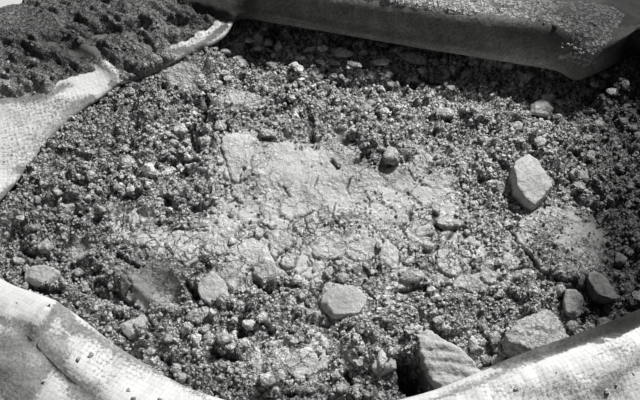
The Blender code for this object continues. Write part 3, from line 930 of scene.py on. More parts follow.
def broken_block(name, size, cuts, breaks, seed, fine, rough):
    """A block with flat breaks and a gritty skin, at the origin."""
    alone()
    bpy.ops.mesh.primitive_cube_add(size=1)
    piece = bpy.context.object
    piece.name = piece.data.name = name
    bpy.ops.object.mode_set(mode="EDIT")
    bpy.ops.transform.resize(value=size)
    for turn, slope, share in breaks if cuts else chance_breaks(random.Random(seed)):
        t, s = math.radians(turn), math.radians(slope)
        facing = Vector((math.cos(t) * math.cos(s), math.sin(t) * math.cos(s), math.sin(s)))
        support = sum((abs(a * b) / 2) ** 1.5 for a, b in zip(facing, size)) ** (1 / 1.5)
        cuts.append((facing * support * share, facing))
    for point, facing in cuts:
        cut_off(point, facing)
    bpy.ops.object.mode_set(mode="OBJECT")
    add_modifier(piece, "REMESH", mode="VOXEL", voxel_size=fine, use_smooth_shade=True)
    for kind, bump, height, number in SKIN:
        shift(piece, seed * 0.37)
        add_modifier(piece, "DISPLACE", texture=lumpy(kind, bump, seed * 10 + number),
                     strength=height * MM * rough, mid_level=0.5)
        shift(piece, -seed * 0.37)
    return piece


def score(piece):
    """Cuts long fine waves into the piece's skin."""
    points = spots_of(piece)
    along = points[:, :2] @ np.array(((0.78, 0.63), (-0.63, 0.78))).T / (0.020, 0.0034)
    waves = 0.6 * MM * noise(along, 1.0, 63, 3, 0.7)
    move_spots(piece, points + read(piece.data.vertices, "normal", 3) * waves[:, None])


print("breaks of a lump without an outline:", CHANCE_BREAKS)

# %% The lumps
lump_pieces = {}
for name, (x, y, buried, *size, turn, tilt, seed) in LUMPS.items():
    small = max(size) < SMALL
    ground_height = float(heap(np.array([[x * MM, y * MM]]))[0])
    floor_height, showing = ground_height - buried * MM, (size[2] - buried) * MM
    spin = Matrix.Rotation(math.radians(turn), 4, "Z") @ Matrix.Rotation(math.radians(tilt), 4, "X")
    stand = Matrix.Translation((x * MM, y * MM, floor_height + size[2] * MM / 2)) @ spin
    cuts, wider = [], 1.0
    if name in OUTLINES:
        corners, wider = OUTLINES[name], 1.22
        cuts = outline_cuts(corners, floor_height + buried * MM, showing, stand.inverted())
    piece = broken_block(
        "broken_" + name, (size[0] * wider * MM, size[1] * wider * MM, size[2] * MM), cuts,
        BREAKS.get(name, ()), seed, (SMALL_VOXEL if small else VOXEL) * MM,
        SMALL_ROUGH if small else ROUGHEST.get(name, PLAIN_ROUGH))
    if name == "leaning_slab":
        score(piece)
    piece.data.transform(stand)
    above_ground = spots_of(piece)[:, 2] - floor_height - buried * MM
    # Painted shade, darker towards each lump's foot
    note(piece, "gap", 0.8 * soft_step(1 - above_ground / (0.45 * showing)))
    grain = 0.45 if name == "rough_lump" else 0.16
    note(piece, "grain", np.full(len(piece.data.vertices), grain))
    lump_pieces[name] = piece
print("lumps:", {name: len(piece.data.polygons) for name, piece in lump_pieces.items()})

# %% [markdown]
# ## Crumbs
# Thousands of crumbs lie over the loose parts. A few dozen are modelled once: a ball of triangles
# (a block for the smallest), cut flat by random planes, with each corner then pushed in or out by
# chance, so that it looks broken and not round. Each is copied many times at its own size and
# turn, joined in one mesh for each size, because thousands of objects would be slow.

# %% Crumb shapes
def crumb_shape(seed, subdivisions, cuts, dents):
    """The points and triangles of one crumb, about 1 across from its middle. No subdivisions
    gives a bent block."""
    rolled = random.Random(seed)
    alone()
    if subdivisions:
        bpy.ops.mesh.primitive_ico_sphere_add(subdivisions=subdivisions, radius=1)
    else:
        bpy.ops.mesh.primitive_cube_add(size=1.35)
    piece = bpy.context.object
    bpy.ops.object.mode_set(mode="EDIT")
    for _ in range(cuts):
        facing = Vector([rolled.gauss(0, 1) for _ in range(3)]).normalized()
        cut_off(facing * rolled.uniform(0.55, 0.85), facing)
    bpy.ops.mesh.select_all(action="SELECT")
    bpy.ops.mesh.remove_doubles(threshold=0.12 if subdivisions < 3 else 0.05)
    bpy.ops.mesh.quads_convert_to_tris()
    face_outwards()
    points = spots_of(piece)
    faces = read(piece.data.loops, "vertex_index", kind=np.int32).reshape(-1, 3)
    bpy.data.objects.remove(piece, do_unlink=True)
    knocked = 1 + 0.6 * dents * noise(points + seed, 0.9, seed, 3, 0.6)
    knocked *= np.array([rolled.uniform(1 - 1.3 * dents, 1 + 0.25 * dents) for _ in points])
    return points * knocked[:, None], faces


def crumb_shapes(count, first_seed, *form):
    """Several crumbs of one form."""
    return [crumb_shape(first_seed + k, *form) for k in range(count)]


grit_shapes = crumb_shapes(24, 60, 0, 0, 0.30)
fine_shapes = crumb_shapes(24, 100, 1, 0, 0.34)
coarse_shapes = crumb_shapes(20, 200, 2, 3, 0.22)
clod_shapes = crumb_shapes(16, 300, 3, 6, 0.16)
print("faces in a crumb:", [round(np.mean([len(faces) for _, faces in shapes]))
                            for shapes in (grit_shapes, fine_shapes, coarse_shapes, clod_shapes)])


# %% Joined crumbs
def triangles_piece(name, points, faces, smooth):
    """A new piece from arrays of points and triangles."""
    mesh = bpy.data.meshes.new(name)
    mesh.vertices.add(len(points))
    mesh.vertices.foreach_set("co", np.asarray(points, np.float32).ravel())
    mesh.loops.add(faces.size)
    mesh.loops.foreach_set("vertex_index", np.asarray(faces, np.int32).ravel())
    mesh.polygons.add(len(faces))
    mesh.polygons.foreach_set("loop_start", np.arange(0, faces.size, 3, dtype=np.int32))
    mesh.update(calc_edges=True)
    if smooth:
        mesh.shade_smooth()
    else:
        mesh.shade_flat()
    return link_new(name, mesh)


def spins(rolled, count, lean):
    """Turns: any way about the vertical and up to this lean, in degrees, off it."""
    turn, way = rolled.uniform(0, 2 * math.pi, (2, count))
    tip = np.radians(lean) * np.sqrt(rolled.uniform(0, 1, count))
    made = np.empty((count, 3, 3))
    for k in range(count):
        axis = Vector((math.cos(way[k]), math.sin(way[k]), 0))
        made[k] = np.array(Matrix.Rotation(tip[k], 3, axis) @ Matrix.Rotation(turn[k], 3, "Z"))
    return made


def crumb_sizes(rolled, count, smallest, largest, skew, flatness):
    """Three sizes in metres for each crumb, small ones more often. The limits are in mm."""
    across = smallest * (largest / smallest) ** (rolled.uniform(0, 1, count) ** skew) * MM
    shares = [rolled.uniform(*limits, count) for limits in ((0.9, 1.25), (0.75, 1.0), flatness)]
    return across[:, None] * np.column_stack(shares)


def strew(name, shapes, places, sizes, turns, smooth, seed):
    """Copies crumbs to their places as one piece, gives each its own shade, and paints shade on its
    foot.
    """
    rolled = np.random.default_rng(seed)
    which = rolled.integers(0, len(shapes), len(places))
    points, faces, shades, painted_foot_shades, start = [], [], [], [], 0
    for k, chosen in enumerate(which):
        own_points, own_faces = shapes[chosen]
        placed = (own_points * (sizes[k] / 2)) @ turns[k].T + places[k]
        above = (placed[:, 2] - places[k][2]) / sizes[k][2]
        points.append(placed)
        faces.append(own_faces + start)
        shades.append(np.full(len(placed), rolled.normal(0, 1)))
        # Painted shade, darker towards each crumb's foot
        painted_foot_shades.append((0.9 if smooth else 0.45) * soft_step(0.42 - above))
        start += len(placed)
    piece = triangles_piece(name, np.concatenate(points), np.concatenate(faces), smooth)
    note(piece, "own_shade", np.concatenate(shades))
    note(piece, "gap", np.concatenate(painted_foot_shades))
    note(piece, "grain", np.full(start, 0.45))
    return piece


print("one crumb's sizes:", crumb_sizes(np.random.default_rng(0), 1, 1, 3, 1.9, (0.6, 1)).round(4))

# %% [markdown]
# Crumbs lie thickest where the cement is loose, thinly on the crust, and hardly at all on the
# powdery middle. Each one is sunk by part of its height, so that none stands on a point.

# %% Loose crumbs
CRUMB_LEAN = 40


def strewn_places(rolled, count, bare):
    """Places in the mouth, fewer on crust and powder."""
    kept = np.empty((0, 2))
    low, high = meeting.min(0), meeting.max(0)
    while len(kept) < count:
        tried = rolled.uniform(low, high, (count * 2, 2))
        tried = tried[mouth_share(tried) < 0.975]
        wanted = 1 - bare * soft_step(crusted(tried) * 1.5 - 0.25)
        wanted *= (1 - 0.97 * patches(tried, POWDERY)) * (1 - hollowed(tried)[1])
        wanted *= np.maximum(1 - 1.3 * crust_height(tried)[3], 0)
        wanted *= 0.55 + 0.45 * soft_step(0.5 + 0.9 * noise(tried, 0.018, 61, 2))
        kept = np.concatenate((kept, tried[rolled.uniform(0, 1, len(tried)) < wanted]))
    return kept[:count]


def loose_crumbs(name, shapes, count, smallest, largest, bare, flatness, seed):
    """Crumbs of one sort, from the smallest to the largest size in mm."""
    rolled = np.random.default_rng(seed)
    flat = strewn_places(rolled, count, bare)
    sizes = crumb_sizes(rolled, count, smallest, largest, 1.9, flatness)
    height = ground(flat) + sizes[:, 2] * rolled.uniform(0.12, 0.42, count)
    places, turns = np.column_stack((flat, height)), spins(rolled, count, CRUMB_LEAN)
    return strew(name, shapes, places, sizes, turns, False, seed)


crumb_pieces = [
    loose_crumbs("grit", grit_shapes, 11500, 0.8, 1.9, 0.30, (0.6, 1.0), 70),
    loose_crumbs("fine_crumbs", fine_shapes, 6600, 1.5, 3.2, 0.60, (0.6, 0.95), 71),
    loose_crumbs("coarse_crumbs", coarse_shapes, 820, 2.8, 5.6, 0.90, (0.55, 0.9), 72),
    loose_crumbs("clods", clod_shapes, 50, 6.0, 9.5, 0.97, (0.5, 0.75), 73),
]
print("crumbs:", {piece.name: len(piece.data.polygons) for piece in crumb_pieces})

# %% [markdown]
# Some stones and flakes show one by one in the picture. They are the same shapes, but each has
# its own pixel, width and depth, and it lies on the ground found there. Flakes are flat and
# nearly level, and stones are about as tall as they are deep.

# %% Stones that show
# The pixel, and how many pixels wide and deep
STONES = (
    (388, 74, 12, 9), (445, 72, 11, 15), (467, 74, 14, 12), (525, 78, 20, 13), (585, 92, 15, 12),
    (604, 75, 12, 9), (602, 86, 10, 11), (617, 68, 8, 7), (625, 85, 11, 15), (546, 100, 20, 13),
    (90, 176, 11, 12), (128, 163, 16, 14), (151, 171, 18, 17), (78, 177, 7, 7), (91, 186, 7, 7),
    (98, 189, 9, 7), (118, 186, 11, 12), (130, 189, 10, 10), (145, 184, 11, 9), (181, 129, 17, 14),
    (174, 143, 11, 10), (222, 126, 16, 15), (268, 134, 19, 12), (221, 161, 8, 8),
    (174, 192, 12, 12), (365, 110, 19, 14), (386, 113, 17, 11), (388, 137, 10, 10),
    (392, 155, 20, 22), (443, 112, 24, 14), (466, 188, 7, 12), (524, 105, 17, 10),
    (518, 126, 10, 12), (540, 142, 13, 14), (600, 124, 11, 12), (587, 139, 11, 12),
    (622, 121, 12, 12), (578, 172, 11, 14), (582, 188, 12, 11), (70, 207, 17, 13),
    (90, 206, 12, 10), (101, 210, 10, 10), (109, 209, 7, 7), (33, 228, 12, 8), (46, 246, 17, 15),
    (259, 234, 10, 14), (231, 242, 8, 8), (233, 214, 11, 12), (296, 280, 12, 10), (379, 245, 7, 9),
    (429, 247, 12, 11), (467, 254, 11, 8), (372, 272, 6, 6), (328, 272, 12, 11), (343, 278, 12, 10),
    (446, 222, 22, 14), (474, 205, 9, 11), (410, 277, 24, 14), (560, 290, 13, 13),
    (620, 260, 14, 16), (251, 324, 17, 13), (193, 317, 16, 14), (206, 314, 9, 18),
    (196, 341, 14, 15), (208, 338, 12, 13), (223, 338, 13, 12), (234, 335, 8, 11),
    (244, 342, 12, 10), (230, 347, 10, 8), (223, 364, 9, 11), (267, 380, 16, 14), (293, 340, 11, 9),
    (293, 329, 7, 8), (311, 332, 8, 8), (176, 370, 12, 12), (183, 378, 10, 10), (355, 357, 13, 16),
    (381, 362, 14, 22), (391, 350, 8, 10), (437, 320, 12, 11), (447, 326, 12, 10), (455, 331, 8, 9),
    (475, 345, 11, 18), (495, 338, 11, 15), (486, 359, 12, 11), (498, 361, 13, 15),
    (503, 351, 10, 12), (572, 326, 12, 12), (589, 328, 12, 12), (603, 322, 13, 10),
    (608, 310, 11, 13), (576, 337, 8, 7), (256, 196, 6, 6), (128, 328, 16, 13), (137, 322, 9, 9),
    (86, 290, 10, 8), (168, 338, 9, 9), (150, 352, 10, 9), (118, 310, 10, 9), (20, 218, 10, 9),
    (58, 192, 9, 8), (196, 352, 10, 8), (300, 378, 10, 8), (336, 375, 10, 9), (342, 388, 12, 9),
)
FLAKES = (
    (250, 40, 13, 10), (268, 42, 11, 12), (300, 58, 13, 9), (322, 48, 13, 10), (350, 42, 16, 8),
    (396, 50, 20, 10), (436, 62, 14, 10), (458, 64, 16, 9), (530, 74, 12, 9), (612, 92, 13, 10),
    (594, 84, 12, 9), (288, 36, 12, 8), (226, 52, 12, 9), (238, 58, 12, 8), (320, 62, 14, 8),
    (474, 62, 14, 8), (237, 45, 14, 9), (258, 37, 12, 11), (259, 49, 11, 8), (275, 55, 10, 8),
    (280, 46, 16, 7), (310, 50, 18, 7), (242, 63, 12, 11), (273, 65, 16, 8), (294, 65, 12, 9),
    (340, 52, 29, 14), (333, 62, 15, 8), (364, 53, 8, 8), (374, 53, 10, 7), (381, 44, 26, 9),
    (380, 62, 28, 10), (355, 64, 20, 8), (415, 58, 36, 17), (488, 67, 11, 9), (507, 66, 16, 8),
    (407, 343, 9, 12), (392, 84, 12, 7), (300, 80, 12, 7), (228, 78, 11, 7), (452, 88, 12, 7),
    (560, 102, 12, 8), (122, 60, 12, 9), (146, 50, 14, 8), (132, 42, 10, 7),
)
# How far they may lean in degrees, and how their sizes in the picture become real ones
STONE_LEAN = 14
DEEP_SHARE, BIGGER = 0.86, 1.08
print("stones:", len(STONES), "flakes:", len(FLAKES))


# %% Setting the stones
def set_stones(name, shapes, listed, flatness, sunk, seed):
    """Puts each listed stone on the ground below its pixel, sunk by a share of its height."""
    rolled = np.random.default_rng(seed)
    listed = np.array(listed, float)
    count, pixels = len(listed), listed[:, :2]
    flatnesses = rolled.uniform(*flatness, count)
    across, deep = listed[:, 2] * ACROSS, listed[:, 3] * ALONG * DEEP_SHARE
    tall = np.minimum(across, deep) * flatnesses
    flat = np.array([seen(u, v) for u, v in pixels])
    for _ in range(2):
        level = ground(flat) + tall * sunk
        flat = np.array([seen(u, v, z) for (u, v), z in zip(pixels, level)])
    sizes = np.column_stack((across, deep, tall)) * BIGGER
    turns = spins(rolled, count, STONE_LEAN)
    for k in range(count):
        back = -math.atan2(turns[k][1, 0], turns[k][0, 0]) + rolled.uniform(-0.4, 0.4)
        turns[k] = turns[k] @ np.array(Matrix.Rotation(back, 3, "Z"))
    return strew(name, shapes, np.column_stack((flat, level)), sizes, turns, True, seed)


stone_shapes = crumb_shapes(18, 400, 3, 8, 0.09)
flake_shapes = crumb_shapes(12, 450, 3, 7, 0.08)
crumb_pieces += [set_stones("stones", stone_shapes, STONES, (0.62, 0.85), 0.22, 81),
                 set_stones("flakes", flake_shapes, FLAKES, (0.35, 0.50), 0.62, 82)]
print("faces in stones and flakes:", [len(piece.data.polygons) for piece in crumb_pieces[-2:]])

# %% [markdown]
# ## The sack
# A sack is one thin wall, so it is lofted: closed rings run round it from the flat underside, up
# the sides past the sewn ends, over the shoulder to the mouth, over the fold, and back out along
# the flaps. The fabric is one sheet of cloth with a real thickness. Wrinkles are added to the
# rings before the wall is made, in three sorts: soft dents, pulls that run in from the seam, and
# the creases and rolls that show in the picture.

# %% The sack's rings
UNDER_TURNS = np.radians((0, 12, 24, 36, 48, 60, 72, 82, 90))
SHOULDER_SHARES = (1.0, 0.985, 0.96, 0.93, 0.89, 0.84, 0.78, 0.71, 0.63, 0.54, 0.45, 0.35, 0.25,
                   0.16, 0.08, 0.0)
CUFF_SHARES = (0.8, 0.6, 0.4, 0.2)
NOSE_TURNS = np.radians((-90, -55, -20, 15, 50, 90))
FLAP_SHARES = (0.02, 0.045, 0.075, 0.11, 0.145, 0.18, 0.215, 0.25, 0.285, 0.32, 0.36, 0.40, 0.44,
               0.485, 0.53, 0.575, 0.62, 0.67, 0.72, 0.77, 0.82, 0.87, 0.92, 0.965, 1.0)

slope = np.degrees(np.arctan2(np.sin(angles), np.abs(np.cos(angles))))
fin = soft_step((FIN_SPREAD - np.abs(slope)) / 8 + 1)
rings = []
for swing in UNDER_TURNS:
    flat = outline(angles, UNDERSIDE_ROUNDING * (1 - math.sin(swing)))
    low = FABRIC + (SEAM_HEIGHT - FIN_MOUTH / 2 - FABRIC) * (1 - math.cos(swing))
    rings.append(np.column_stack((flat, np.full(STATIONS, low))))
fin_out = edge.copy()
fin_out[:, 0] += np.copysign(SEAM_FIN * fin, edge[:, 0])
half_gap = SEAM_GAP / 2 + (FIN_MOUTH / 2 - SEAM_GAP) * 0.5 * (1 - fin)
for side in (-1, 1):
    rings.append(np.column_stack((fin_out, SEAM_HEIGHT + side * half_gap)))
seam_ring = len(rings)
for share in SHOULDER_SHARES:
    distance = undercut + (reach - undercut) * share
    rings.append(place(distance, top_height(distance)))
for share in CUFF_SHARES:
    rings.append(place(undercut * share, top_height(undercut * share)))
fold_ring = len(rings)
for turn in NOSE_TURNS:
    height = crest + bend / 2 * (1 + math.sin(turn))
    rings.append(place(-NOSE_SHARE * bend * math.cos(turn), height))
flap_ring = len(rings)
wave = 1 + 0.7 * np.sin(9 * angles + 1) + 0.5 * np.sin(17 * angles + 2)
start, end = crest + bend, top_height(cuff) + FLAP_REST
for share in FLAP_SHARES:
    distance = cuff * share
    past = np.clip((distance - swollen) / (cuff - swollen), 0, 1)
    before = np.sin(math.pi / 2 * np.minimum(distance / swollen, 1))
    swell = np.where(distance < swollen, before, 0.5 + 0.5 * np.cos(math.pi * past))
    height = start + (end - start) * share**2 + billow * swell
    height = np.maximum(height, top_height(distance) + FLAP_REST)
    rings.append(place(distance, height + FLAP_WAVE * share * wave))
rings = np.array(rings)
steps = np.linalg.norm(np.diff(rings, axis=0), axis=2)
path = np.concatenate((np.zeros((1, STATIONS)), np.cumsum(steps, axis=0)))
print("rings:", len(rings), "points:", rings.shape[0] * rings.shape[1])

# %% Folds that show
# Folds that show in the picture: sort, half width in pixels, height in mm, pixels
FOLDS = (
    ("ridge", 3, 0.7, (330, 6), (400, 14), (470, 21), (540, 27)),
    ("ridge", 5, -0.9, (300, 14), (380, 26), (450, 34), (520, 40), (556, 42)),
    ("step", 2.5, -5.0, (110, -22), (178, 0), (200, 8), (228, 17)),
    ("step", 2.5, -2.2, (-60, 296), (0, 316), (15, 321), (38, 330), (52, 326)),
    ("ridge", 4.5, 3.4, (60, 302), (54, 309), (46, 316)),
    ("step", 3.0, 4.2, (61, 298), (57, 308), (50, 318), (41, 330)),
    ("ridge", 2.5, -1.6, (60, 309), (54, 318), (46, 328)),
    ("step", 3.5, -4.5, (44, 345), (57, 362), (70, 375), (100, 400), (120, 418)),
    ("ridge", 5, 1.4, (45, 340), (34, 358), (20, 376), (10, 392)),
    ("ridge", 4, -1.1, (78, 338), (70, 352), (68, 364)),
    ("ridge", 2.5, -1.2, (115, 349), (114, 360), (113, 372)),
    ("ridge", 12, 1.8, (412, 424), (480, 396), (540, 371), (600, 352), (645, 338)),
    ("ridge", 4, -1.6, (556, 358), (576, 348), (600, 335), (640, 316)),
    ("ridge", 2.5, -1.6, (582, 377), (597, 376)),
    ("step", 4, -3.0, (590, 396), (600, 387), (615, 375), (631, 365), (665, 348)),
    ("ridge", 5, 3.6, (72, 38), (90, 52), (105, 63), (116, 74), (121, 84), (114, 92)),
    ("ridge", 2.2, 1.3, (198, 46), (218, 32), (240, 19)),
    ("ridge", 2.2, 1.3, (196, 54), (216, 42), (236, 27)),
    ("ridge", 5, -3.0, (118, 66), (138, 76), (160, 88)),
)
print("folds:", len(FOLDS))

# %% Noise on the rings
around = np.concatenate(((0,), np.cumsum(np.hypot(*np.diff(edge, axis=0).T))))
closing = float(np.hypot(*(edge[0] - edge[-1])) + around[-1])


def wrapped(size_round, size_out, seed, layers):
    """Noise over the rings that joins up where they close."""
    turn = 2 * math.pi * np.broadcast_to(around / closing, path.shape)
    big = closing / (2 * math.pi) / size_round
    grid = np.stack((np.cos(turn) * big, np.sin(turn) * big, path / size_out), -1).reshape(-1, 3)
    return noise(grid, 1.0, seed, layers).reshape(path.shape)


def ridged(*noisy):
    """The same with sharp ridges in place of soft bumps."""
    return 1 - 2 * np.abs(wrapped(*noisy))


def ring_normals(rings):
    """Which way the fabric faces at each point."""
    along = np.roll(rings, -1, 1) - np.roll(rings, 1, 1)
    up = np.empty_like(rings)
    up[1:-1] = rings[2:] - rings[:-2]
    up[0], up[-1] = rings[1] - rings[0], rings[-1] - rings[-2]
    facing = np.cross(along, up)
    return facing / np.maximum(np.linalg.norm(facing, axis=2, keepdims=True), 1e-9)


print("round the sack it is", round(closing, 3), "m")

# %% Dents and crumples
# Dents and pulls on the body of the sack, in mm
normals = ring_normals(rings)
ring_number = np.arange(len(rings))[:, None]
below_seam = (ring_number >= 3) & (ring_number < seam_ring - 3)
on_body = below_seam | ((ring_number > seam_ring) & (ring_number < fold_ring - 4))
from_seam = np.maximum(np.where(
    ring_number < seam_ring - 1, path[seam_ring - 3] - path, path - path[seam_ring]), 0)
body_dents = 2.6 * wrapped(0.085, 0.07, 91, 3) + 0.5 * wrapped(0.02, 0.03, 92, 2)
pulls = 1.5 * ridged(0.021, 0.16, 93, 1) * np.exp(-from_seam / 0.045) * (0.3 + 0.7 * fin)
body = body_dents * soft_step(rings[:, :, 2] / 0.012) + pulls
body = body * np.clip(from_seam / 0.008, 0, 1) * soft_step((path[fold_ring - 4] - path) / 0.03)
rings += normals * (MM * body * on_body)[:, :, None]
rings[:, :, 2] += MM * 3.0 * fin * wrapped(0.05, 9, 90, 2)[:1] * np.exp(-from_seam / 0.02)

# Crumples on the flaps, in mm
flap = ring_number >= fold_ring
from_fold = np.maximum(path - path[flap_ring - 1], 0)
crumple = 1.1 * wrapped(0.05, 0.04, 94, 3) + 0.8 * ridged(0.030, 0.026, 95, 2)
crumple = np.clip(from_fold / 0.02, 0, 1) * (crumple + 0.40 * wrapped(0.012, 0.010, 96, 2))
crumple += 0.4 * ridged(0.020, 0.05, 97, 1)
crumple += 0.30 * zone(270, 350) * ridged(0.009, 0.011, 89, 2) * soft_step(from_fold / 0.006)
past_end = soft_step((from_fold - from_fold[-1] * 0.8) / 0.02)
end_wave = past_end * (0.6 + 1.2 * wrapped(0.05, 1, 98, 2))
calm = 0.6 * zone(33, 108) * (from_fold < 0.03)
rings[:, :, 2] += MM * (crumple + end_wave) * flap * (1 - calm)

print("largest crumple:", round(float(np.abs(crumple).max()), 1), "mm")

# %% The folds of the table
flap_shown = np.column_stack(pixel(rings[fold_ring:].reshape(-1, 3)))
folds = np.zeros(len(flap_shown))
for sort, half, height, *line in FOLDS:
    away, side = near(flap_shown, line)
    if sort == "ridge":
        folds += height * np.exp(-((away / half) ** 2))
    else:
        step = soft_step(side * away / half / 2 + 0.5) - 0.5
        folds += height * step * np.exp(-((away / 26) ** 2))
past_fold = np.clip((from_fold[fold_ring:] + 0.002) / 0.004, 0, 1)
rings[fold_ring:, :, 2] += MM * folds.reshape(past_fold.shape) * past_fold
print("largest fold:", round(float(np.abs(folds).max()), 1), "mm")

# %% [markdown]
# The weave has to follow the fabric over the folds, so the sack gets a UV map in metres: round
# the rim one way and along the fabric the other. Each flap's tapes run at its own angle.

# %% The sack's mesh
# The directions from and to which each flap reaches, and how far its tapes are turned, in degrees
WEAVE_TURNS = ((28, 112, -6), (112, 165, 22), (165, 190, 8), (190, 232, -27), (232, 300, 4),
               (300, 352, 20))


def corners_of(grid):
    """The four corners of every face between the rings."""
    return (grid[:-1], np.roll(grid[:-1], -1, 1), np.roll(grid[1:], -1, 1), grid[1:])


pole = rings.shape[0] * STATIONS
index = np.arange(pole).reshape(-1, STATIONS)
quads = np.stack(corners_of(index), -1)
fan = [(pole, (i + 1) % STATIONS, i) for i in range(STATIONS)]
sack_mesh = bpy.data.meshes.new("slit_sack")
sack_mesh.from_pydata([*rings.reshape(-1, 3).tolist(), (0, 0, FABRIC)], [],
                      quads.reshape(-1, 4).tolist() + fan)
sack_piece = link_new("slit_sack", sack_mesh)
unfolded = np.where(flap, path - path[fold_ring], path[fold_ring] - path)
unrolled = rim + outwards * unfolded[:, :, None]
face_turn = np.zeros(STATIONS)
for start, end, turn in WEAVE_TURNS:
    face_turn[(facing_way >= start) & (facing_way < end)] = math.radians(turn)
turn = np.where(flap[:-1], face_turn, 0)[:, :, None]
x, y = np.moveaxis(np.stack(corners_of(unrolled), 2), -1, 0)
weave_uv = np.stack((x * np.cos(turn) + y * np.sin(turn), -x * np.sin(turn) + y * np.cos(turn)), -1)
fan_uv = np.array([((0, 0), rings[0, (i + 1) % STATIONS, :2], rings[0, i, :2])
                   for i in range(STATIONS)], float)
layer = sack_mesh.uv_layers.new(name="weave")
layer.data.foreach_set(
    "uv", np.concatenate((weave_uv.reshape(-1), fan_uv.reshape(-1))).astype(np.float32))
alone()
bpy.context.view_layer.objects.active = sack_piece
sack_mesh.shade_smooth()
print("sack:", len(sack_mesh.polygons), "faces")

# %% [markdown]
# Cement has dusted and stained the fabric. How dirty each point is comes from spots and lines in
# the picture, and from soft noise where the picture doesn't show the sack. The far flap wears a
# coat of fine dark dust all over. The same colours also carry painted shade: the inside of the far
# fold is darkened as shade, the strip below the near right fold is dust and painted shade, and the
# far flap's lip is painted lighter.

# %% Where the sack is soiled, and painted shade on it
# Dust and dirt, and painted shade in the dark corner left of and below the near left cuff: the
# pixel, the half sizes in pixels and the strength
SOILED_AND_SHADED = (
    (75, 118, 14, 22, 0.35), (28, 170, 11, 3, 0.8), (12, 192, 9, 6, 0.6), (30, 150, 60, 50, 0.30),
    (60, 130, 22, 12, 0.25), (55, 348, 14, 16, 0.70), (30, 336, 9, 9, 0.80),
    (14, 366, 36, 40, 0.66), (66, 318, 7, 12, 0.45), (84, 392, 20, 10, 0.45),
    (60, 26, 130, 36, 0.95), (0, -10, 70, 44, 0.97), (150, 70, 30, 14, 0.9),
    (150, 352, 30, 12, 0.12), (590, 388, 60, 22, 0.34), (110, 345, 60, 34, 0.22),
    (120, 384, 60, 26, 0.14), (40, 104, 50, 14, 0.20), (500, 392, 50, 14, 0.26),
    (620, 350, 30, 14, 0.30),
)
# Lines of dust and dirt, and painted shadow lines along the lower edges of the near left cuff's
# folds: the half width in pixels and the strength, then pixels
SOILED_AND_SHADED_LINES = (
    (4, 0.40, (415, 408), (480, 381), (540, 358)),
    (5, 0.55, (56, 344), (44, 356), (26, 380), (8, 402)), (4, 0.5, (52, 352), (36, 384), (28, 404)),
    (5, 0.5, (60, 304), (66, 318), (76, 330)),
    (5, 0.35, (70, 322), (110, 345), (160, 371), (205, 398)),
    (5, 0.5, (92, 98), (75, 112), (60, 132), (45, 158), (22, 184), (0, 200)),
    (3, 0.6, (0, 100), (24, 99), (50, 93), (70, 84)), (4, 0.7, (112, 84), (124, 90), (140, 84)),
    (3, 0.5, (176, 52), (200, 46), (226, 26)),
    (3.5, 0.6, (0, 319), (15, 324), (38, 333), (50, 324), (57, 308)),
    (6, 0.3, (600, 392), (615, 378), (640, 362)), (4, 0.5, (60, 372), (76, 388), (96, 406)),
)
# The left part of the far flap, and the strip below the near right fold, lie beside these lines
LEFT_PART = ((110, -18), (178, 5), (200, 13), (228, 22), (244, 26))
UNDER_LAYER = ((470, 372), (492, 369), (514, 364), (538, 358), (583, 345), (630, 330), (676, 312))
# The far flap's lip faces away from the lamp and is painted lighter, with less dust: the pixel, the
# half sizes in pixels and the slope
PAINTED_LIP_LIGHT = (530, 62, 80, 11)
PAINTED_LIP_LIGHT_SLOPE = 0.16
print("dirty spots:", len(SOILED_AND_SHADED), "dirty lines:", len(SOILED_AND_SHADED_LINES))

# %% Dust and painted shade on the sack
flat_rings = rings.reshape(-1, 3)
u, v = (across.reshape(path.shape) for across in pixel(flat_rings))
shown = np.column_stack((u.ravel(), v.ravel()))
clean = np.ones(path.shape)
for *spot, strength in SOILED_AND_SHADED:
    clean *= 1 - strength * oval(u, v, spot, 1.4)
for half, strength, *line in SOILED_AND_SHADED_LINES:
    clean *= 1 - strength * on_line(shown, line, half).reshape(path.shape)


def beside(line):
    """How far each of the sack's points shows from a line, and on which side."""
    return (values.reshape(path.shape) for values in near(shown, line))


# The coat of fine dust, with painted shade in it: the far flap, darker further back, its left part,
# its right end, the strip below the near right fold (dust and painted shade), the inside of the far
# fold (painted shade), then a lip that is painted lighter, and last the shoulder behind the far
# flap
from_edge = np.maximum(path - path[flap_ring], 0)
dust_coat_and_shade = zone(26, 112, 4) * flap * (1 + 0.75 * soft_step((from_edge - 0.016) / 0.012))
away, side = beside(LEFT_PART)
left_part = soft_step(0.5 - side * away / 3) * (u > 105)
dust_coat_and_shade = np.maximum(dust_coat_and_shade, 1.8 * left_part * zone(104, 152, 4) * flap)
away, side = beside(UNDER_LAYER)
ragged = 1.5 * noise(flat_rings, 0.005, 91, 2).reshape(path.shape)
under_strip_dust_and_shade = soft_step(0.5 - (side * away + ragged) / 2) * (away < 26) * (u > 466)
under_strip_dust_and_shade = (2.3 + 0.5 * soft_step((u - 540) / 40)) * under_strip_dust_and_shade
dust_coat_and_shade = np.maximum(dust_coat_and_shade, 3.0 * soft_step((u - 586) / 24) * (v < 26) * flap)
dust_coat_and_shade = np.maximum(dust_coat_and_shade, under_strip_dust_and_shade * (np.abs(ring_number - fold_ring) < 14))
# Painted shade on the inside of the far fold
inner_fold_painted_shade = np.exp(-(((ring_number - fold_ring + 5) / 4.5) ** 4))
dust_coat_and_shade = np.maximum(dust_coat_and_shade, 2.0 * zone(16, 112, 6) * inner_fold_painted_shade)
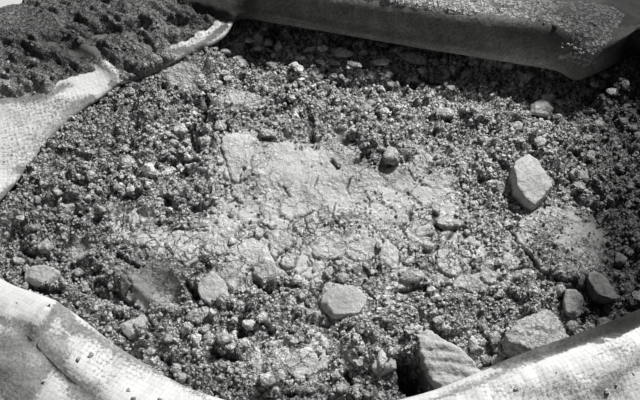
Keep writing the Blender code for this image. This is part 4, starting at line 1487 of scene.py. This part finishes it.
# The far flap's lip is painted lighter, by taking away some of its dust
dust_coat_and_shade = dust_coat_and_shade * (1 - 0.55 * oval(u, v - PAINTED_LIP_LIGHT_SLOPE * (u - PAINTED_LIP_LIGHT[0]), PAINTED_LIP_LIGHT, 1.2))
shoulder = soft_step((170 - u) / 60) * soft_step((u + 58) / 50)
shoulder = shoulder * soft_step((80 - v) / 40) * soft_step((v + 58) / 50)
shoulder = shoulder * soft_step((ring_number - seam_ring - 1) / 4) * (ring_number < fold_ring - 6)
dust_coat_and_shade = np.maximum(dust_coat_and_shade, 0.7 * shoulder)
clean *= 1 - 0.97 * np.clip(dust_coat_and_shade, 0, 1)

print("points of the sack with a full coat:", int((dust_coat_and_shade >= 1).sum()))

# %% Dirt where the picture ends
near_mouth = 0.55 * np.exp(-np.maximum(path[fold_ring] - path, 0) / 0.02) * (~flap)
hidden = 0.22 + 0.30 * wrapped(0.09, 0.06, 99, 3) + near_mouth
in_view = soft_step((u + 60) / 40) * soft_step((700 - u) / 40)
in_view = in_view * soft_step((v + 60) / 40) * soft_step((460 - v) / 40)
in_view = in_view * np.maximum(flap, soft_step(dust_coat_and_shade / 0.6))
soil_and_shade = 1 - clean
dirt_and_shade = in_view * (soil_and_shade + 0.06) + (1 - in_view) * np.maximum(hidden, soil_and_shade * flap)
inner_wall = np.exp(-(((ring_number - fold_ring + 2) / 3.5) ** 4)) * np.ones(STATIONS)
# np.append adds the value of the one point in the middle of the underside
note(sack_piece, "dust_coat_and_shade", np.append(dust_coat_and_shade, 0.0))
note(sack_piece, "bare_weave", np.append(1 - inner_wall, 1.0))
# Dirt and dust, with the painted shade that the coat and the soiled spots carry
note(sack_piece, "dirt_and_shade", np.append(np.clip(dirt_and_shade, 0, 1), 0.4))
add_modifier(sack_piece, "SOLIDIFY", thickness=FABRIC, offset=1.0)
print("sack with its wall:", len(sack_mesh.polygons), "faces")

# %% [markdown]
# ## The sewn ends
# Each end was closed with a row of thread through both faces. One stitch is modelled once, as a
# short tube whose two ends dip into the fabric, and it is copied along the fins, above and below.

# %% Stitches
def stitch_shape():
    """A tube 1 long and 0.16 thick with sunken ends."""
    around_tube, along_tube = 6, 5
    t = np.linspace(-0.5, 0.5, along_tube)
    turn = np.arange(around_tube) * 2 * math.pi / around_tube
    thick = 0.08 * (1 - 0.5 * (2 * t) ** 6)
    height = (0.05 - 1.6 * np.maximum(np.abs(t) - 0.3, 0) ** 1.5)[:, None]
    points = np.stack((
        np.repeat(t, around_tube), (thick[:, None] * np.cos(turn)).ravel(),
        (thick[:, None] * np.sin(turn) + height).ravel()), -1)
    faces = []
    for i in range(along_tube - 1):
        for j in range(around_tube):
            a, b = i * around_tube + j, i * around_tube + (j + 1) % around_tube
            faces += [(a, a + around_tube, b), (b, a + around_tube, b + around_tube)]
    for j in range(1, around_tube - 1):
        last = (along_tube - 1) * around_tube
        faces += [(0, j, j + 1), (last, last + j + 1, last + j)]
    return points, np.array(faces)


STITCH, STITCH_STEP, STITCH_LIFT = 0.0066, 0.0085, 0.0001
stitch_places, stitch_turns = [], []
for side in (1, -1):
    row = np.where((fin > 0.6) & (np.sign(np.cos(angles)) == side))[0]
    row = row[np.argsort(edge[row, 1])]
    for root, tip, facing in ((seam_ring, seam_ring - 1, 1), (seam_ring - 3, seam_ring - 2, -1)):
        line = rings[root, row] * 0.35 + rings[tip, row] * 0.65
        line[:, 2] += facing * (FABRIC + STITCH_LIFT)
        lengths = np.linalg.norm(np.diff(line, axis=0), axis=1)
        gone = np.concatenate(((0,), np.cumsum(lengths)))
        for s in np.arange(STITCH_STEP, gone[-1] - STITCH_STEP, STITCH_STEP):
            here, ahead = (np.array([np.interp(at, gone, line[:, k]) for k in range(3)])
                           for at in (s, s + 0.002))
            x_way = Vector(ahead - here).normalized()
            y_way = Vector((0, 0, facing)).cross(x_way).normalized()
            turn = Matrix((x_way, y_way, x_way.cross(y_way))).transposed()
            stitch_turns.append(np.array(turn))
            stitch_places.append(here)
thread_piece = strew(
    "sewing_thread", [stitch_shape()], np.array(stitch_places),
    np.full((len(stitch_places), 3), 2 * STITCH), np.array(stitch_turns), True, 5)
print("stitches:", len(stitch_places))

# %% [markdown]
# ## Cement spilled on the flaps
# Cement has run out over the far flaps and set there. Each spill is a grid over the part of the
# picture where it shows. A ray dropped at each of its points finds the fabric, and the spill
# stands on that, thin at its edge and rough inside. Extruding the whole sheet closes it below.

# %% The spills' outlines
# The spills' outlines and the smooth tongue in the left one, in pixels
TONGUE = [
    (-30, 4), (10, 3), (40, 9), (62, 18), (69, 28), (62, 40), (40, 42), (0, 38), (-30, 38),
]
LEFT_SPILL = [
    (-46, -34), (96, -34), (150, -16), (180, 1), (200, 11), (220, 18), (206, 30), (190, 38),
    (172, 49), (180, 58), (172, 68), (150, 84), (132, 92), (124, 86), (116, 74), (108, 62),
    (98, 52), (86, 46), (70, 50), (84, 58), (100, 70), (84, 76), (64, 82), (48, 94), (22, 98),
    (-46, 100),
]
RIGHT_SPILL = [
    (300, -60), (330, -6), (372, 3), (412, 12), (440, 14), (480, 19), (520, 24), (548, 27),
    (566, 38), (560, 46), (552, 54), (556, 66), (570, 76), (580, 80), (594, 66), (606, 54),
    (616, 40), (626, 22), (640, -10), (660, -60),
]
# Troughs of the left spill: half width in pixels and depth in mm, then pixels
SPILL_TROUGHS = (
    (5, 4.4, (48, 46), (66, 40), (84, 37), (104, 38)),
    (4, 2.8, (100, 36), (130, 32), (160, 29), (200, 26)), (5, 3.5, (26, 56), (46, 64)),
    (5, -1.5, (104, 28), (150, 22), (196, 19)), (6, 2.6, (122, 72), (140, 78), (162, 88)),
    (5, -1.6, (110, 58), (132, 70), (160, 80)), (3.5, 2.0, (150, 46), (166, 54), (174, 62)),
    (5, 1.6, (0, 46), (22, 52), (30, 70)),
)
# Where the spills are lumpy: the pixel, the half sizes in pixels and the strength
LEFT_LUMPY = (
    (138, 60, 26, 16, 1.0), (100, 10, 60, 14, 0.7), (200, 12, 30, 12, 0.8), (20, 80, 40, 24, 0.5),
)
RIGHT_LUMPY = ((574, 62, 15, 15, 1.0), (600, 36, 14, 12, 0.3), (420, 4, 60, 8, 0.5))
PLATED_LINE = ((340, -10), (380, 4), (440, 4), (470, 0))
# The height that a ray gives where it meets no fabric, and the height that it falls from
NO_FABRIC = 0.1
SKY = 0.4
print("corners of the spills' outlines:", len(LEFT_SPILL), len(RIGHT_SPILL))


# %% Onto the fabric
def tree_of(piece):
    """What a ray needs to find the piece's surface."""
    return BVHTree.FromObject(piece, bpy.context.evaluated_depsgraph_get())


fabric_below = [tree_of(sack_piece)]


def drop(points, trees, otherwise=NO_FABRIC):
    """The height of the first surface below each point of the plan."""
    heights = np.full(len(points), otherwise)
    for k, (x, y) in enumerate(points):
        hits = [tree.ray_cast(Vector((x, y, SKY)), Vector((0, 0, -1)))[0] for tree in trees]
        heights[k] = max([hit.z for hit in hits if hit is not None], default=otherwise)
    return heights


def within(points, corners):
    """Whether each point is inside a closed outline."""
    x, y = points.T
    inside = np.zeros(len(points), bool)
    for (x0, y0), (x1, y1) in zip(corners, corners[1:] + corners[:1]):
        crosses = (y0 > y) != (y1 > y)
        inside ^= crosses & (x < (x1 - x0) * (y - y0) / ((y1 - y0) or 1e-9) + x0)
    return inside


def from_outline(points, corners):
    """How far each point is from a closed outline."""
    return near(points, corners + corners[:1])[0]


def on_fabric(flat):
    """The fabric's height at each point of the plan, and the pixel at which that shows."""
    height = drop(flat, fabric_below)
    return height, np.column_stack(pixel(np.column_stack((flat, height))))


print("the fabric's height at the mouth's left end:", drop([(-0.24, 0)], fabric_below).round(3))


# %% Spilled cement
def spill(name, corners, pitch, thickness, edge_pixels, grain, lowest):
    """A layer of cement on the fabric, inside an outline in pixels. thickness() gives its height
    in mm."""
    ground_corners = np.array([seen(u, v, FLAP_HEIGHT) for u, v in corners])

    def keep(flat):
        height, shown = on_fabric(flat)
        return within(shown, corners) & (height > lowest)

    piece = grid_piece(name, ground_corners.min(0) - 0.004, ground_corners.max(0) + 0.004, pitch,
                       keep)
    points = spots_of(piece)
    points[:, 2] = np.maximum(on_fabric(points[:, :2])[0], lowest) - 0.6 * MM
    move_spots(piece, points)
    edit_faces(piece)
    bpy.ops.mesh.extrude_region_move()
    bpy.ops.object.mode_set(mode="OBJECT")
    raised, flags = spots_of(piece), picked(piece)
    flat = raised[flags, :2]
    fabric, shown = on_fabric(flat)
    away = from_outline(shown, corners)
    fade = soft_step(away / edge_pixels + 0.35 * noise(flat, 0.006, 7, 2))
    raised[flags, 2] += MM * (0.3 + fade * thickness(flat, shown))
    move_spots(piece, raised)
    bpy.ops.object.mode_set(mode="EDIT")
    face_outwards()
    piece.data.shade_smooth()
    thick = (raised[flags, 2] - fabric) / MM
    # Painted shade: the spill's thinner, lower places are darker
    above = np.zeros(len(raised))
    above[flags] = 0.42 * soft_step((np.median(thick) - thick) / 3.5) * fade
    note(piece, "gap", above)
    note(piece, "grain", np.full(len(raised), grain))
    return piece


def left_thickness(flat, shown):
    """Streaked cement with lumps and troughs, and one smooth tongue."""
    tongue = soft_step(from_outline(shown, TONGUE) / 7) * within(shown, TONGUE)
    lumps = mixed_clods(flat, ((1, 0.0085, 31, 0.5), (1, 0.0045, 33, 0.7))) / MM
    rough = (0.3 + 0.7 * patches(flat, LEFT_LUMPY, 0.136)) * lumps
    rough += (2.0 * noise(turned(flat, -38) / (0.013, 0.0028), 1.0, 35, 3, 0.6)
              + 0.35 * noise(flat, 0.003, 36, 3, 0.7) + 1.8 * noise(flat, 0.02, 37, 2))
    for half, depth, *line in SPILL_TROUGHS:
        rough -= depth * on_line(shown, line, half)
    return (3.2 + rough) * (1 - tongue) + tongue * (5.4 + 0.3 * noise(flat, 0.01, 39, 2))


def right_thickness(flat, shown):
    """A thin dusting, with flat plates along its far edge."""
    nearest, following, own, _ = cells(flat + 0.0015 * drift(flat, 0.008, 141), 0.010, 143)
    gap = soft_step((following - nearest) / 0.0014)
    plates = soft_step(1.2 - near(shown, PLATED_LINE)[0] / 16) * gap * (0.5 + 0.9 * own)
    rough = patches(flat, RIGHT_LUMPY, 0.15) * clods(flat, 0.0052, 147, 0.7) / MM
    return (0.55 + plates + 1.2 * rough
            + 0.30 * noise(flat, 0.003, 149, 3, 0.7) + 0.3 * noise(flat, 0.012, 148, 2))


spills = [spill("spill_on_left_flap", LEFT_SPILL, 0.0011, left_thickness, 9, 0.7, 0.10),
          spill("spill_on_far_flap", RIGHT_SPILL, 0.0014, right_thickness, 7, 0.75, 0.140)]
print("spills:", [len(piece.data.polygons) for piece in spills])

# %% [markdown]
# Crumbs lie on the spills too, and a few strays lie on the bare fabric, most of them near the
# mouth. A ray finds the surface below each one.

# %% Crumbs on the flaps
# Outlines in pixels with how many crumbs lie in each, then boxes with strays
CRUMBED = ((LEFT_SPILL, 300), (RIGHT_SPILL, 60),
           ([(556, 50), (590, 46), (594, 62), (580, 78), (564, 72)], 80))
STRAYS = (((-30, 96), (90, 200), 46), ((0, 300), (180, 400), 9), ((430, 330), (640, 400), 8))
LOWEST_FLAP = 0.125

surfaces = fabric_below + [tree_of(piece) for piece in spills]
rolled = np.random.default_rng(88)
tried = []
for corners, many in CRUMBED:
    spots = rolled.uniform(np.min(corners, 0), np.max(corners, 0), (many * 3, 2))
    tried.append(spots[within(spots, corners)][:many])
tried += [rolled.uniform(low, high, (many, 2)) for low, high, many in STRAYS]
tried = np.concatenate(tried)
flat = np.array([seen(u, v, 0.145) for u, v in tried])
flat = np.array([seen(u, v, z) for (u, v), z in zip(tried, drop(flat, surfaces))])
height = drop(flat, surfaces, 0.0)
good = height > LOWEST_FLAP
flat, height = flat[good], height[good]
sizes = crumb_sizes(rolled, len(flat), 1.1, 4.0, 2.4, (0.6, 0.9))
places = np.column_stack((flat, height + sizes[:, 2] * 0.18))
turns = spins(rolled, len(flat), CRUMB_LEAN)
crumb_pieces.append(strew("crumbs_on_flaps", fine_shapes, places, sizes, turns, False, 89))
print("crumbs on the flaps:", len(flat))

# %% [markdown]
# ## Finishes
# Each finish is a small tree of nodes. A short helper class adds the nodes and links, so that the
# cells below read like the finish they make.

# %% Node helper
class Finish:
    """One material, built node by node."""

    def __init__(self, name, colour, roughness):
        self.material = bpy.data.materials.new(name)
        self.material.use_nodes = True
        self.nodes, self.links = self.material.node_tree.nodes, self.material.node_tree.links
        self.surface = self.nodes["Principled BSDF"]
        self.look(base_color=(*colour, 1), roughness=roughness)

    def put(self, socket, value):
        if isinstance(value, bpy.types.NodeSocket):
            self.links.new(value, socket)
        else:
            socket.default_value = value

    def look(self, **values):
        """Sets or links inputs of the surface by their names."""
        for name, value in values.items():
            title = {"specular": "Specular IOR Level"}.get(name, name.replace("_", " ").title())
            self.put(self.surface.inputs[title], value)

    def add(self, kind, out, inputs, **settings):
        node = self.nodes.new("ShaderNode" + kind)
        for key, value in settings.items():
            setattr(node, key, value)
        for key, value in inputs.items():
            self.put(node.inputs[key], value)
        return node.outputs[out]

    def math(self, operation, a, b=0.0):
        return self.add("Math", 0, {0: a, 1: b}, operation=operation)

    def times(self, value, *others):
        for other in others:
            value = self.math("MULTIPLY", value, other)
        return value

    def plus(self, a, b):
        return self.math("ADD", a, b)

    def minus(self, a, b):
        return self.math("SUBTRACT", a, b)

    def most(self, a, b):
        return self.math("MAXIMUM", a, b)

    def less(self, value):
        """What is left of 1."""
        return self.minus(1.0, value)

    def attribute(self, name):
        return self.add("Attribute", "Fac", {}, attribute_name=name)

    def place(self):
        return self.add("TexCoord", "Object", {})

    def bumps(self, scale, detail=3.0, rough=0.55):
        return self.add("TexNoise", "Fac", {
            "Vector": self.place(), "Scale": scale, "Detail": detail, "Roughness": rough})

    def between(self, value, low, high, to_low=0.0, to_high=1.0):
        return self.add(
            "MapRange", 0, {0: value, 1: low, 2: high, 3: to_low, 4: to_high}, clamp=True)

    def grey(self, value, warmth=1.0):
        return self.add("CombineColor", 0, {0: value, 1: value, 2: self.times(value, warmth)})

    def mix(self, share, a, b):
        return self.add("Mix", 2, {0: share, 6: a, 7: b}, data_type="RGBA")

    def bent(self, scale, bend_scale, wander, **noise_inputs):
        """The place of each point, moved about by noise."""
        at = self.place()
        bend = self.add("TexNoise", "Color", {"Vector": at, "Scale": bend_scale, **noise_inputs})
        bend = self.add("VectorMath", 0, {0: bend, 1: (0.5, 0.5, 0.5)}, operation="SUBTRACT")
        bend = self.add("VectorMath", 0, {0: bend, 3: wander / scale}, operation="SCALE")
        return self.add("VectorMath", 0, {0: at, 1: bend}, operation="ADD")

    def cracks(self, scale, wander, width):
        """1 on the thin lines between bent cells and 0 inside them."""
        at = self.bent(scale, scale * 1.4, wander, Detail=4.0, Roughness=0.65)
        at = self.add("Mapping", 0, {"Vector": at, "Scale": (1.0, 1.0, 0.15)})
        edge = self.add("TexVoronoi", "Distance", {"Vector": at, "Scale": scale},
                        feature="DISTANCE_TO_EDGE")
        return self.between(edge, 0.2 * width * scale, width * scale, 1.0, 0.0)

    def grains(self, scale, wander):
        """How far each point is from the middle of its grain, with grains bent out of round."""
        at = self.bent(scale, scale * 1.1, wander, Detail=2.0)
        return self.add("TexVoronoi", "Distance", {"Vector": at, "Scale": scale})

    def raise_by(self, height, distance, strength=1.0):
        """Adds one more layer of bump below the last."""
        before = self.surface.inputs["Normal"].links
        inputs = {"Strength": strength, "Distance": distance, "Height": height}
        if before:
            inputs["Normal"] = before[0].from_socket
        self.put(self.surface.inputs["Normal"], self.add("Bump", 0, inputs))


print("node helper ready")

# %% [markdown]
# Cement is a fine grey dust held together by damp. It has no shine at all. Its colour wanders
# slowly, each crumb has its own shade, and its skin is made of grains of two sizes with painted
# shade between them. Cracks, pits and the feet of crumbs, where little light comes, are painted
# darker as shade.

# %% Cement
def cement_finish(name, base, lumpiness):
    """Grey dust and grains. lumpiness is how far the grains stand out."""
    made = Finish(name, (base, base, base * 0.985), 0.95)
    between, times, plus, less = made.between, made.times, made.plus, made.less
    grain, gap = made.attribute("grain"), made.attribute("gap")
    slow = made.bumps(28.0)
    quick = made.bumps(330.0, 4.0, 0.65)
    specks = made.bumps(1500.0, 2.0, 0.7)
    large, small = made.grains(330.0, 1.1), made.grains(760.0, 1.0)

    # Slow and quick changes of tone, each crumb's own shade, and the painted light and shade of its
    # place
    value = times(
        between(slow, 0.3, 0.7, 0.90, 1.10), between(quick, 0.25, 0.75, 0.84, 1.14),
        between(specks, 0.32, 0.70, 0.74, 1.22),
        plus(1.0, times(made.attribute("own_shade"), 0.13)), plus(1.0, made.attribute("painted_light_and_tone")))

    # Painted shade between the grains and along the crumbs' outlines, and painted shadow in pits
    outlines = made.cracks(300.0, 1.3, 0.00040)
    shade_between_grains = times(
        between(large, 0.42, 0.82, 1.10, 0.55), between(small, 0.42, 0.80, 1.06, 0.60),
        between(outlines, 0.0, 1.0, 1.06, 0.36))
    value = times(value, plus(1.0, times(grain, made.minus(shade_between_grains, 1.0))))
    pit_shadows = between(made.bumps(520.0, 3.0, 0.8), 0.55, 0.63, 0.0, 0.66)
    value = times(value, less(times(pit_shadows, grain)))

    # Painted shade in fine cracks, and in everything that lies deep
    patchy = between(made.bumps(60.0, 2.0), 0.42, 0.56)
    finer = times(made.cracks(165.0, 1.2, 0.00026), patchy)
    split = times(made.most(made.cracks(78.0, 1.2, 0.00042), finer), made.attribute("cracked"))
    value = times(value, less(times(made.most(gap, split), 0.84)))

    made.look(base_color=made.grey(times(value, base), 0.985),
              roughness=between(quick, 0.3, 0.7, 0.90, 1.0), specular=0.12)
    made.raise_by(specks, 0.0003, 0.9)
    made.raise_by(quick, 0.0012, 0.7)
    made.raise_by(less(small), 0.0012 * lumpiness, grain)
    made.raise_by(less(large), 0.0020 * lumpiness, grain)
    made.raise_by(less(outlines), 0.0008 * lumpiness, grain)
    made.raise_by(less(split), 0.0012, 0.7)
    return made.material


loose_finish = cement_finish("cement_powder", 0.64, 1.0)
hard_finish = cement_finish("hard_cement", 0.56, 0.8)
print("cement finishes:", loose_finish.name, hard_finish.name)

# %% [markdown]
# The sack is woven from flat plastic tapes. At each crossing one tape lies over the other, in a
# checkerboard, so the weave's height comes from the whole-number part of the UV (which tape) and
# its fraction (where on the tape). Dirt fills the low places first.

# %% Woven plastic
# How wide one tape is, in metres
TAPE = 0.0025


def woven_finish():
    """Flat tapes over and under each other, with soil, dust and painted shade on them."""
    made = Finish("woven_plastic", (0.78, 0.78, 0.77), 0.5)
    between, times, plus, minus, less = made.between, made.times, made.plus, made.minus, made.less
    uv = made.add("UVMap", 0, {}, uv_map="weave")
    tapes = []
    for axis in (0, 1):
        along = made.math("DIVIDE", made.add("SeparateXYZ", axis, {0: uv}), TAPE)
        number = made.math("FLOOR", along)
        part = made.math("ABSOLUTE", minus(times(made.math("FRACT", along), 2.0), 1.0))
        crown = less(made.math("POWER", part, 5.0))
        arch = less(times(made.math("POWER", part, 2.0), 0.6))
        tint = made.add("TexWhiteNoise", 0, {"W": plus(number, 57.0 * axis)},
                        noise_dimensions="1D")
        tapes.append((number, crown, arch, tint))
    over = made.math("FLOORED_MODULO", plus(tapes[0][0], tapes[1][0]), 2.0)
    under = less(over)
    heights = [times(tapes[a][1], tapes[1 - a][2]) for a in (0, 1)]
    weave = plus(times(over, heights[0]), times(under, heights[1]))
    tint = plus(times(over, tapes[0][3]), times(under, tapes[1][3]))

    # The clean plastic
    slow = made.bumps(22.0)
    smudges = made.bumps(75.0, 4.0, 0.6)
    fibres = made.bumps(420.0, 3.0, 0.6)
    bare = made.attribute("bare_weave")
    # Painted shade: the low places of the weave are darker
    lines = times(minus(between(weave, 0.0, 0.6, 0.80, 1.0), 1.0), bare)
    value = times(between(tint, 0.0, 1.0, 0.96, 1.02), plus(1.0, lines),
                  between(slow, 0.3, 0.7, 0.93, 1.03), between(smudges, 0.3, 0.75, 0.84, 1.03))
    clean = made.grey(times(value, 0.74), 0.985)

    # How far dust, soil and painted shade cover it: first the grains' low places, then the rest,
    # and specks everywhere
    grains = made.bumps(700.0, 4.0, 0.7)
    blots = made.bumps(95.0, 4.0, 0.65)
    dirt_and_shade, dust_coat_and_shade = made.attribute("dirt_and_shade"), made.attribute("dust_coat_and_shade")
    reach_up = plus(times(grains, 0.95), times(blots, 0.28))
    reach_up = minus(reach_up, times(less(weave), 0.10))
    cover = between(minus(times(dirt_and_shade, 1.25), reach_up), -0.24, 0.00)
    cover = times(cover, between(dirt_and_shade, 0.0, 0.25))
    specks = made.most(between(made.bumps(240.0, 4.0, 0.75), 0.635, 0.665),
                       between(made.bumps(640.0, 2.0, 0.8), 0.66, 0.70))
    cover = made.most(cover, times(specks, between(dirt_and_shade, 0.02, 0.4, 0.30, 0.9)))
    # The dust's colour, darker where the coat is thick, with the painted light and shade of its
    # place
    dust_and_shade_colour = times(between(grains, 0.3, 0.7, 0.15, 0.43), less(times(dust_coat_and_shade, 0.25)),
                  between(blots, 0.3, 0.7, 0.72, 1.25), plus(1.0, made.attribute("painted_light_and_tone")))
    share = times(cover, between(dust_coat_and_shade, 0.0, 1.0, 0.94, 1.0))

    made.look(base_color=made.mix(share, clean, made.grey(dust_and_shade_colour, 0.965)),
              roughness=between(cover, 0.0, 1.0, 0.50, 0.95), specular=0.30)
    made.raise_by(weave, 0.00010, times(bare, between(dust_coat_and_shade, 0.0, 1.0, 0.55, 0.15)))
    made.raise_by(grains, 0.0004, 0.35)
    made.raise_by(fibres, 0.0006, 0.25)
    made.raise_by(smudges, 0.004, 0.30)
    return made.material


def thread_finish():
    """Pale twisted thread."""
    made = Finish("sewing_thread", (0.72, 0.70, 0.66), 0.8)
    twist = made.bumps(900.0, 2.0)
    made.look(base_color=made.grey(made.between(twist, 0.3, 0.7, 0.50, 0.74), 0.96))
    made.raise_by(twist, 0.0003, 0.6)
    return made.material


woven, thread = woven_finish(), thread_finish()
print("sack finishes:", woven.name, thread.name)

# %% [markdown]
# The cement and the sack's dust are painted paler in the lit middle and darker along the right
# side, at the edges and in the far flap's shadow, and paler on a few places that lie in shade, such
# as the far flap's lip. This is mostly painted light and shade, with a little of the cement's own
# tone. That slow change is worked out in the plan and kept on every cement piece and on the sack.

# %% Painted light and shade of the cement
# The pixel, the half sizes in pixels and how much paler or darker
PAINTED_LIGHT_AND_TONES = (
    (300, 185, 100, 60, -0.06), (570, 240, 60, 50, -0.16), (650, 150, 90, 150, -0.68),
    (640, 265, 44, 70, -0.48), (30, 230, 100, 60, -0.20), (610, 310, 50, 40, -0.42),
    (60, 20, 170, 60, -0.70), (70, 150, 60, 40, -0.12), (430, -10, 260, 40, -0.30),
    (600, 16, 90, 50, -0.72), (214, 10, 40, 26, -0.45), (60, 64, 74, 22, -0.32),
    (620, 100, 30, 20, -0.30), (600, 296, 40, 20, -0.30), (414, 378, 18, 20, -0.60),
    (215, 382, 26, 18, -0.25), (165, 182, 50, 24, 0.20), (530, 60, 70, 13, 0.55),
    (585, 232, 26, 20, -0.14), (310, 146, 50, 18, -0.12), (342, 302, 24, 16, -0.32),
    (130, 280, 60, 24, -0.12), (330, 400, 90, 18, -0.35), (148, 286, 28, 22, -0.50),
    (412, 176, 56, 28, -0.22), (300, 342, 90, 22, 0.20), (400, 300, 40, 22, 0.14),
    (345, 160, 30, 20, -0.10), (325, 182, 44, 22, -0.14), (560, 330, 60, 30, -0.14),
)
# The limits of the painted light and tone
LEAST_PAINTED_LIGHT_AND_TONE, MOST_PAINTED_LIGHT_AND_TONE = -0.8, 0.5
# How much of the painted light and tone these pieces take, if not all
PAINTED_LIGHT_AND_TONE_SHARES = {"spill_on_far_flap": 0.85, "flakes": 0.35}


def finish_piece(piece, finish):
    """Notes how much each point of the piece is painted paler and darker, mostly as light and shade
    and a little as the cement's own colour, and gives the piece its finish.
    """
    u, v = pixel(spots_of(piece))
    painted_light_and_tone = sum(strength * oval(u, v, spot, 1.2) for *spot, strength in PAINTED_LIGHT_AND_TONES)
    painted_light_and_tone = painted_light_and_tone * PAINTED_LIGHT_AND_TONE_SHARES.get(piece.name, 1.0)
    note(piece, "painted_light_and_tone", np.clip(painted_light_and_tone, LEAST_PAINTED_LIGHT_AND_TONE, MOST_PAINTED_LIGHT_AND_TONE))
    piece.data.materials.clear()
    piece.data.materials.append(finish)


finish_piece(sack_piece, woven)
for piece in (heap_piece, crust_piece, *crumb_pieces, *spills):
    finish_piece(piece, loose_finish)
for piece in lump_pieces.values():
    finish_piece(piece, hard_finish)
thread_piece.data.materials.append(thread)
for piece in (heap_piece, crust_piece, *lump_pieces.values()):
    piece.data.shade_smooth()
print("cement pieces:", 2 + len(crumb_pieces) + len(spills) + len(lump_pieces))

# %% [markdown]
# ## The studio
# One lamp stands behind the sack to the right, low enough that every crumb throws a short shadow
# towards the camera's left. The surroundings are a dim even grey, and the floor is pale and bare.

# %% Floor and light
LAMP_WAY, LAMP_AWAY = (0.42, 0.58, 0.70), 1.5
LAMP_SIZE, LAMP_POWER = 0.20, 37
SKY_COLOUR, SKY_STRENGTH = (0.9, 0.9, 0.9, 1), 0.11

alone()
bpy.ops.mesh.primitive_plane_add(size=8)
floor = bpy.context.object
floor.name = "floor"
floor_finish = Finish("floor", (0.62, 0.62, 0.61), 0.8)
floor_finish.look(roughness=floor_finish.between(floor_finish.bumps(3.0), 0.3, 0.7, 0.75, 0.9))
floor.data.materials.append(floor_finish.material)
floor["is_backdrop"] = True
lamp_data = bpy.data.lights.new("window", "AREA")
lamp_data.shape, lamp_data.size, lamp_data.energy = "SQUARE", LAMP_SIZE, LAMP_POWER
lamp = link_new("window", lamp_data)
lamp_way = Vector(LAMP_WAY).normalized()
lamp.location = Vector(TARGET) + lamp_way * LAMP_AWAY
lamp.rotation_euler = lamp_way.to_track_quat("Z", "Y").to_euler()
world = bpy.data.worlds.new("studio")
world.use_nodes = True
sky = world.node_tree.nodes["Background"].inputs
sky["Color"].default_value, sky["Strength"].default_value = SKY_COLOUR, SKY_STRENGTH
bpy.context.scene.world = world
bpy.context.scene.view_settings.view_transform = "Standard"
print("lamp at", [round(c, 2) for c in lamp.location])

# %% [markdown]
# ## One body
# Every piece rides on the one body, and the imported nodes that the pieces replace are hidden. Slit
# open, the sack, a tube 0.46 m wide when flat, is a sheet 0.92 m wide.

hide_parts("sack")
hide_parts("cement_fill")
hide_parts("set_spill")
for name, piece in lump_pieces.items():
    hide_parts(name)
slots = {
    "woven_plastic": (sack_piece, thread_piece),
    "cement_powder": (heap_piece, *crumb_pieces),
    "hard_cement": (crust_piece, *spills, *lump_pieces.values()),
}
for slot, pieces in slots.items():
    for piece in pieces:
        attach(piece, "root")
triangles = {}
for piece in (piece for pieces in slots.values() for piece in pieces):
    piece.data.calc_loop_triangles()
    triangles[piece.name] = len(piece.data.loop_triangles)
print("triangles:", triangles, "in all", sum(triangles.values()))

# %% Sizes and finish
visual_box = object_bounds()
print("boxes, packed and finished:",
      [[round(c, 4) for c in p] for box in (cad_box, visual_box) for p in box])
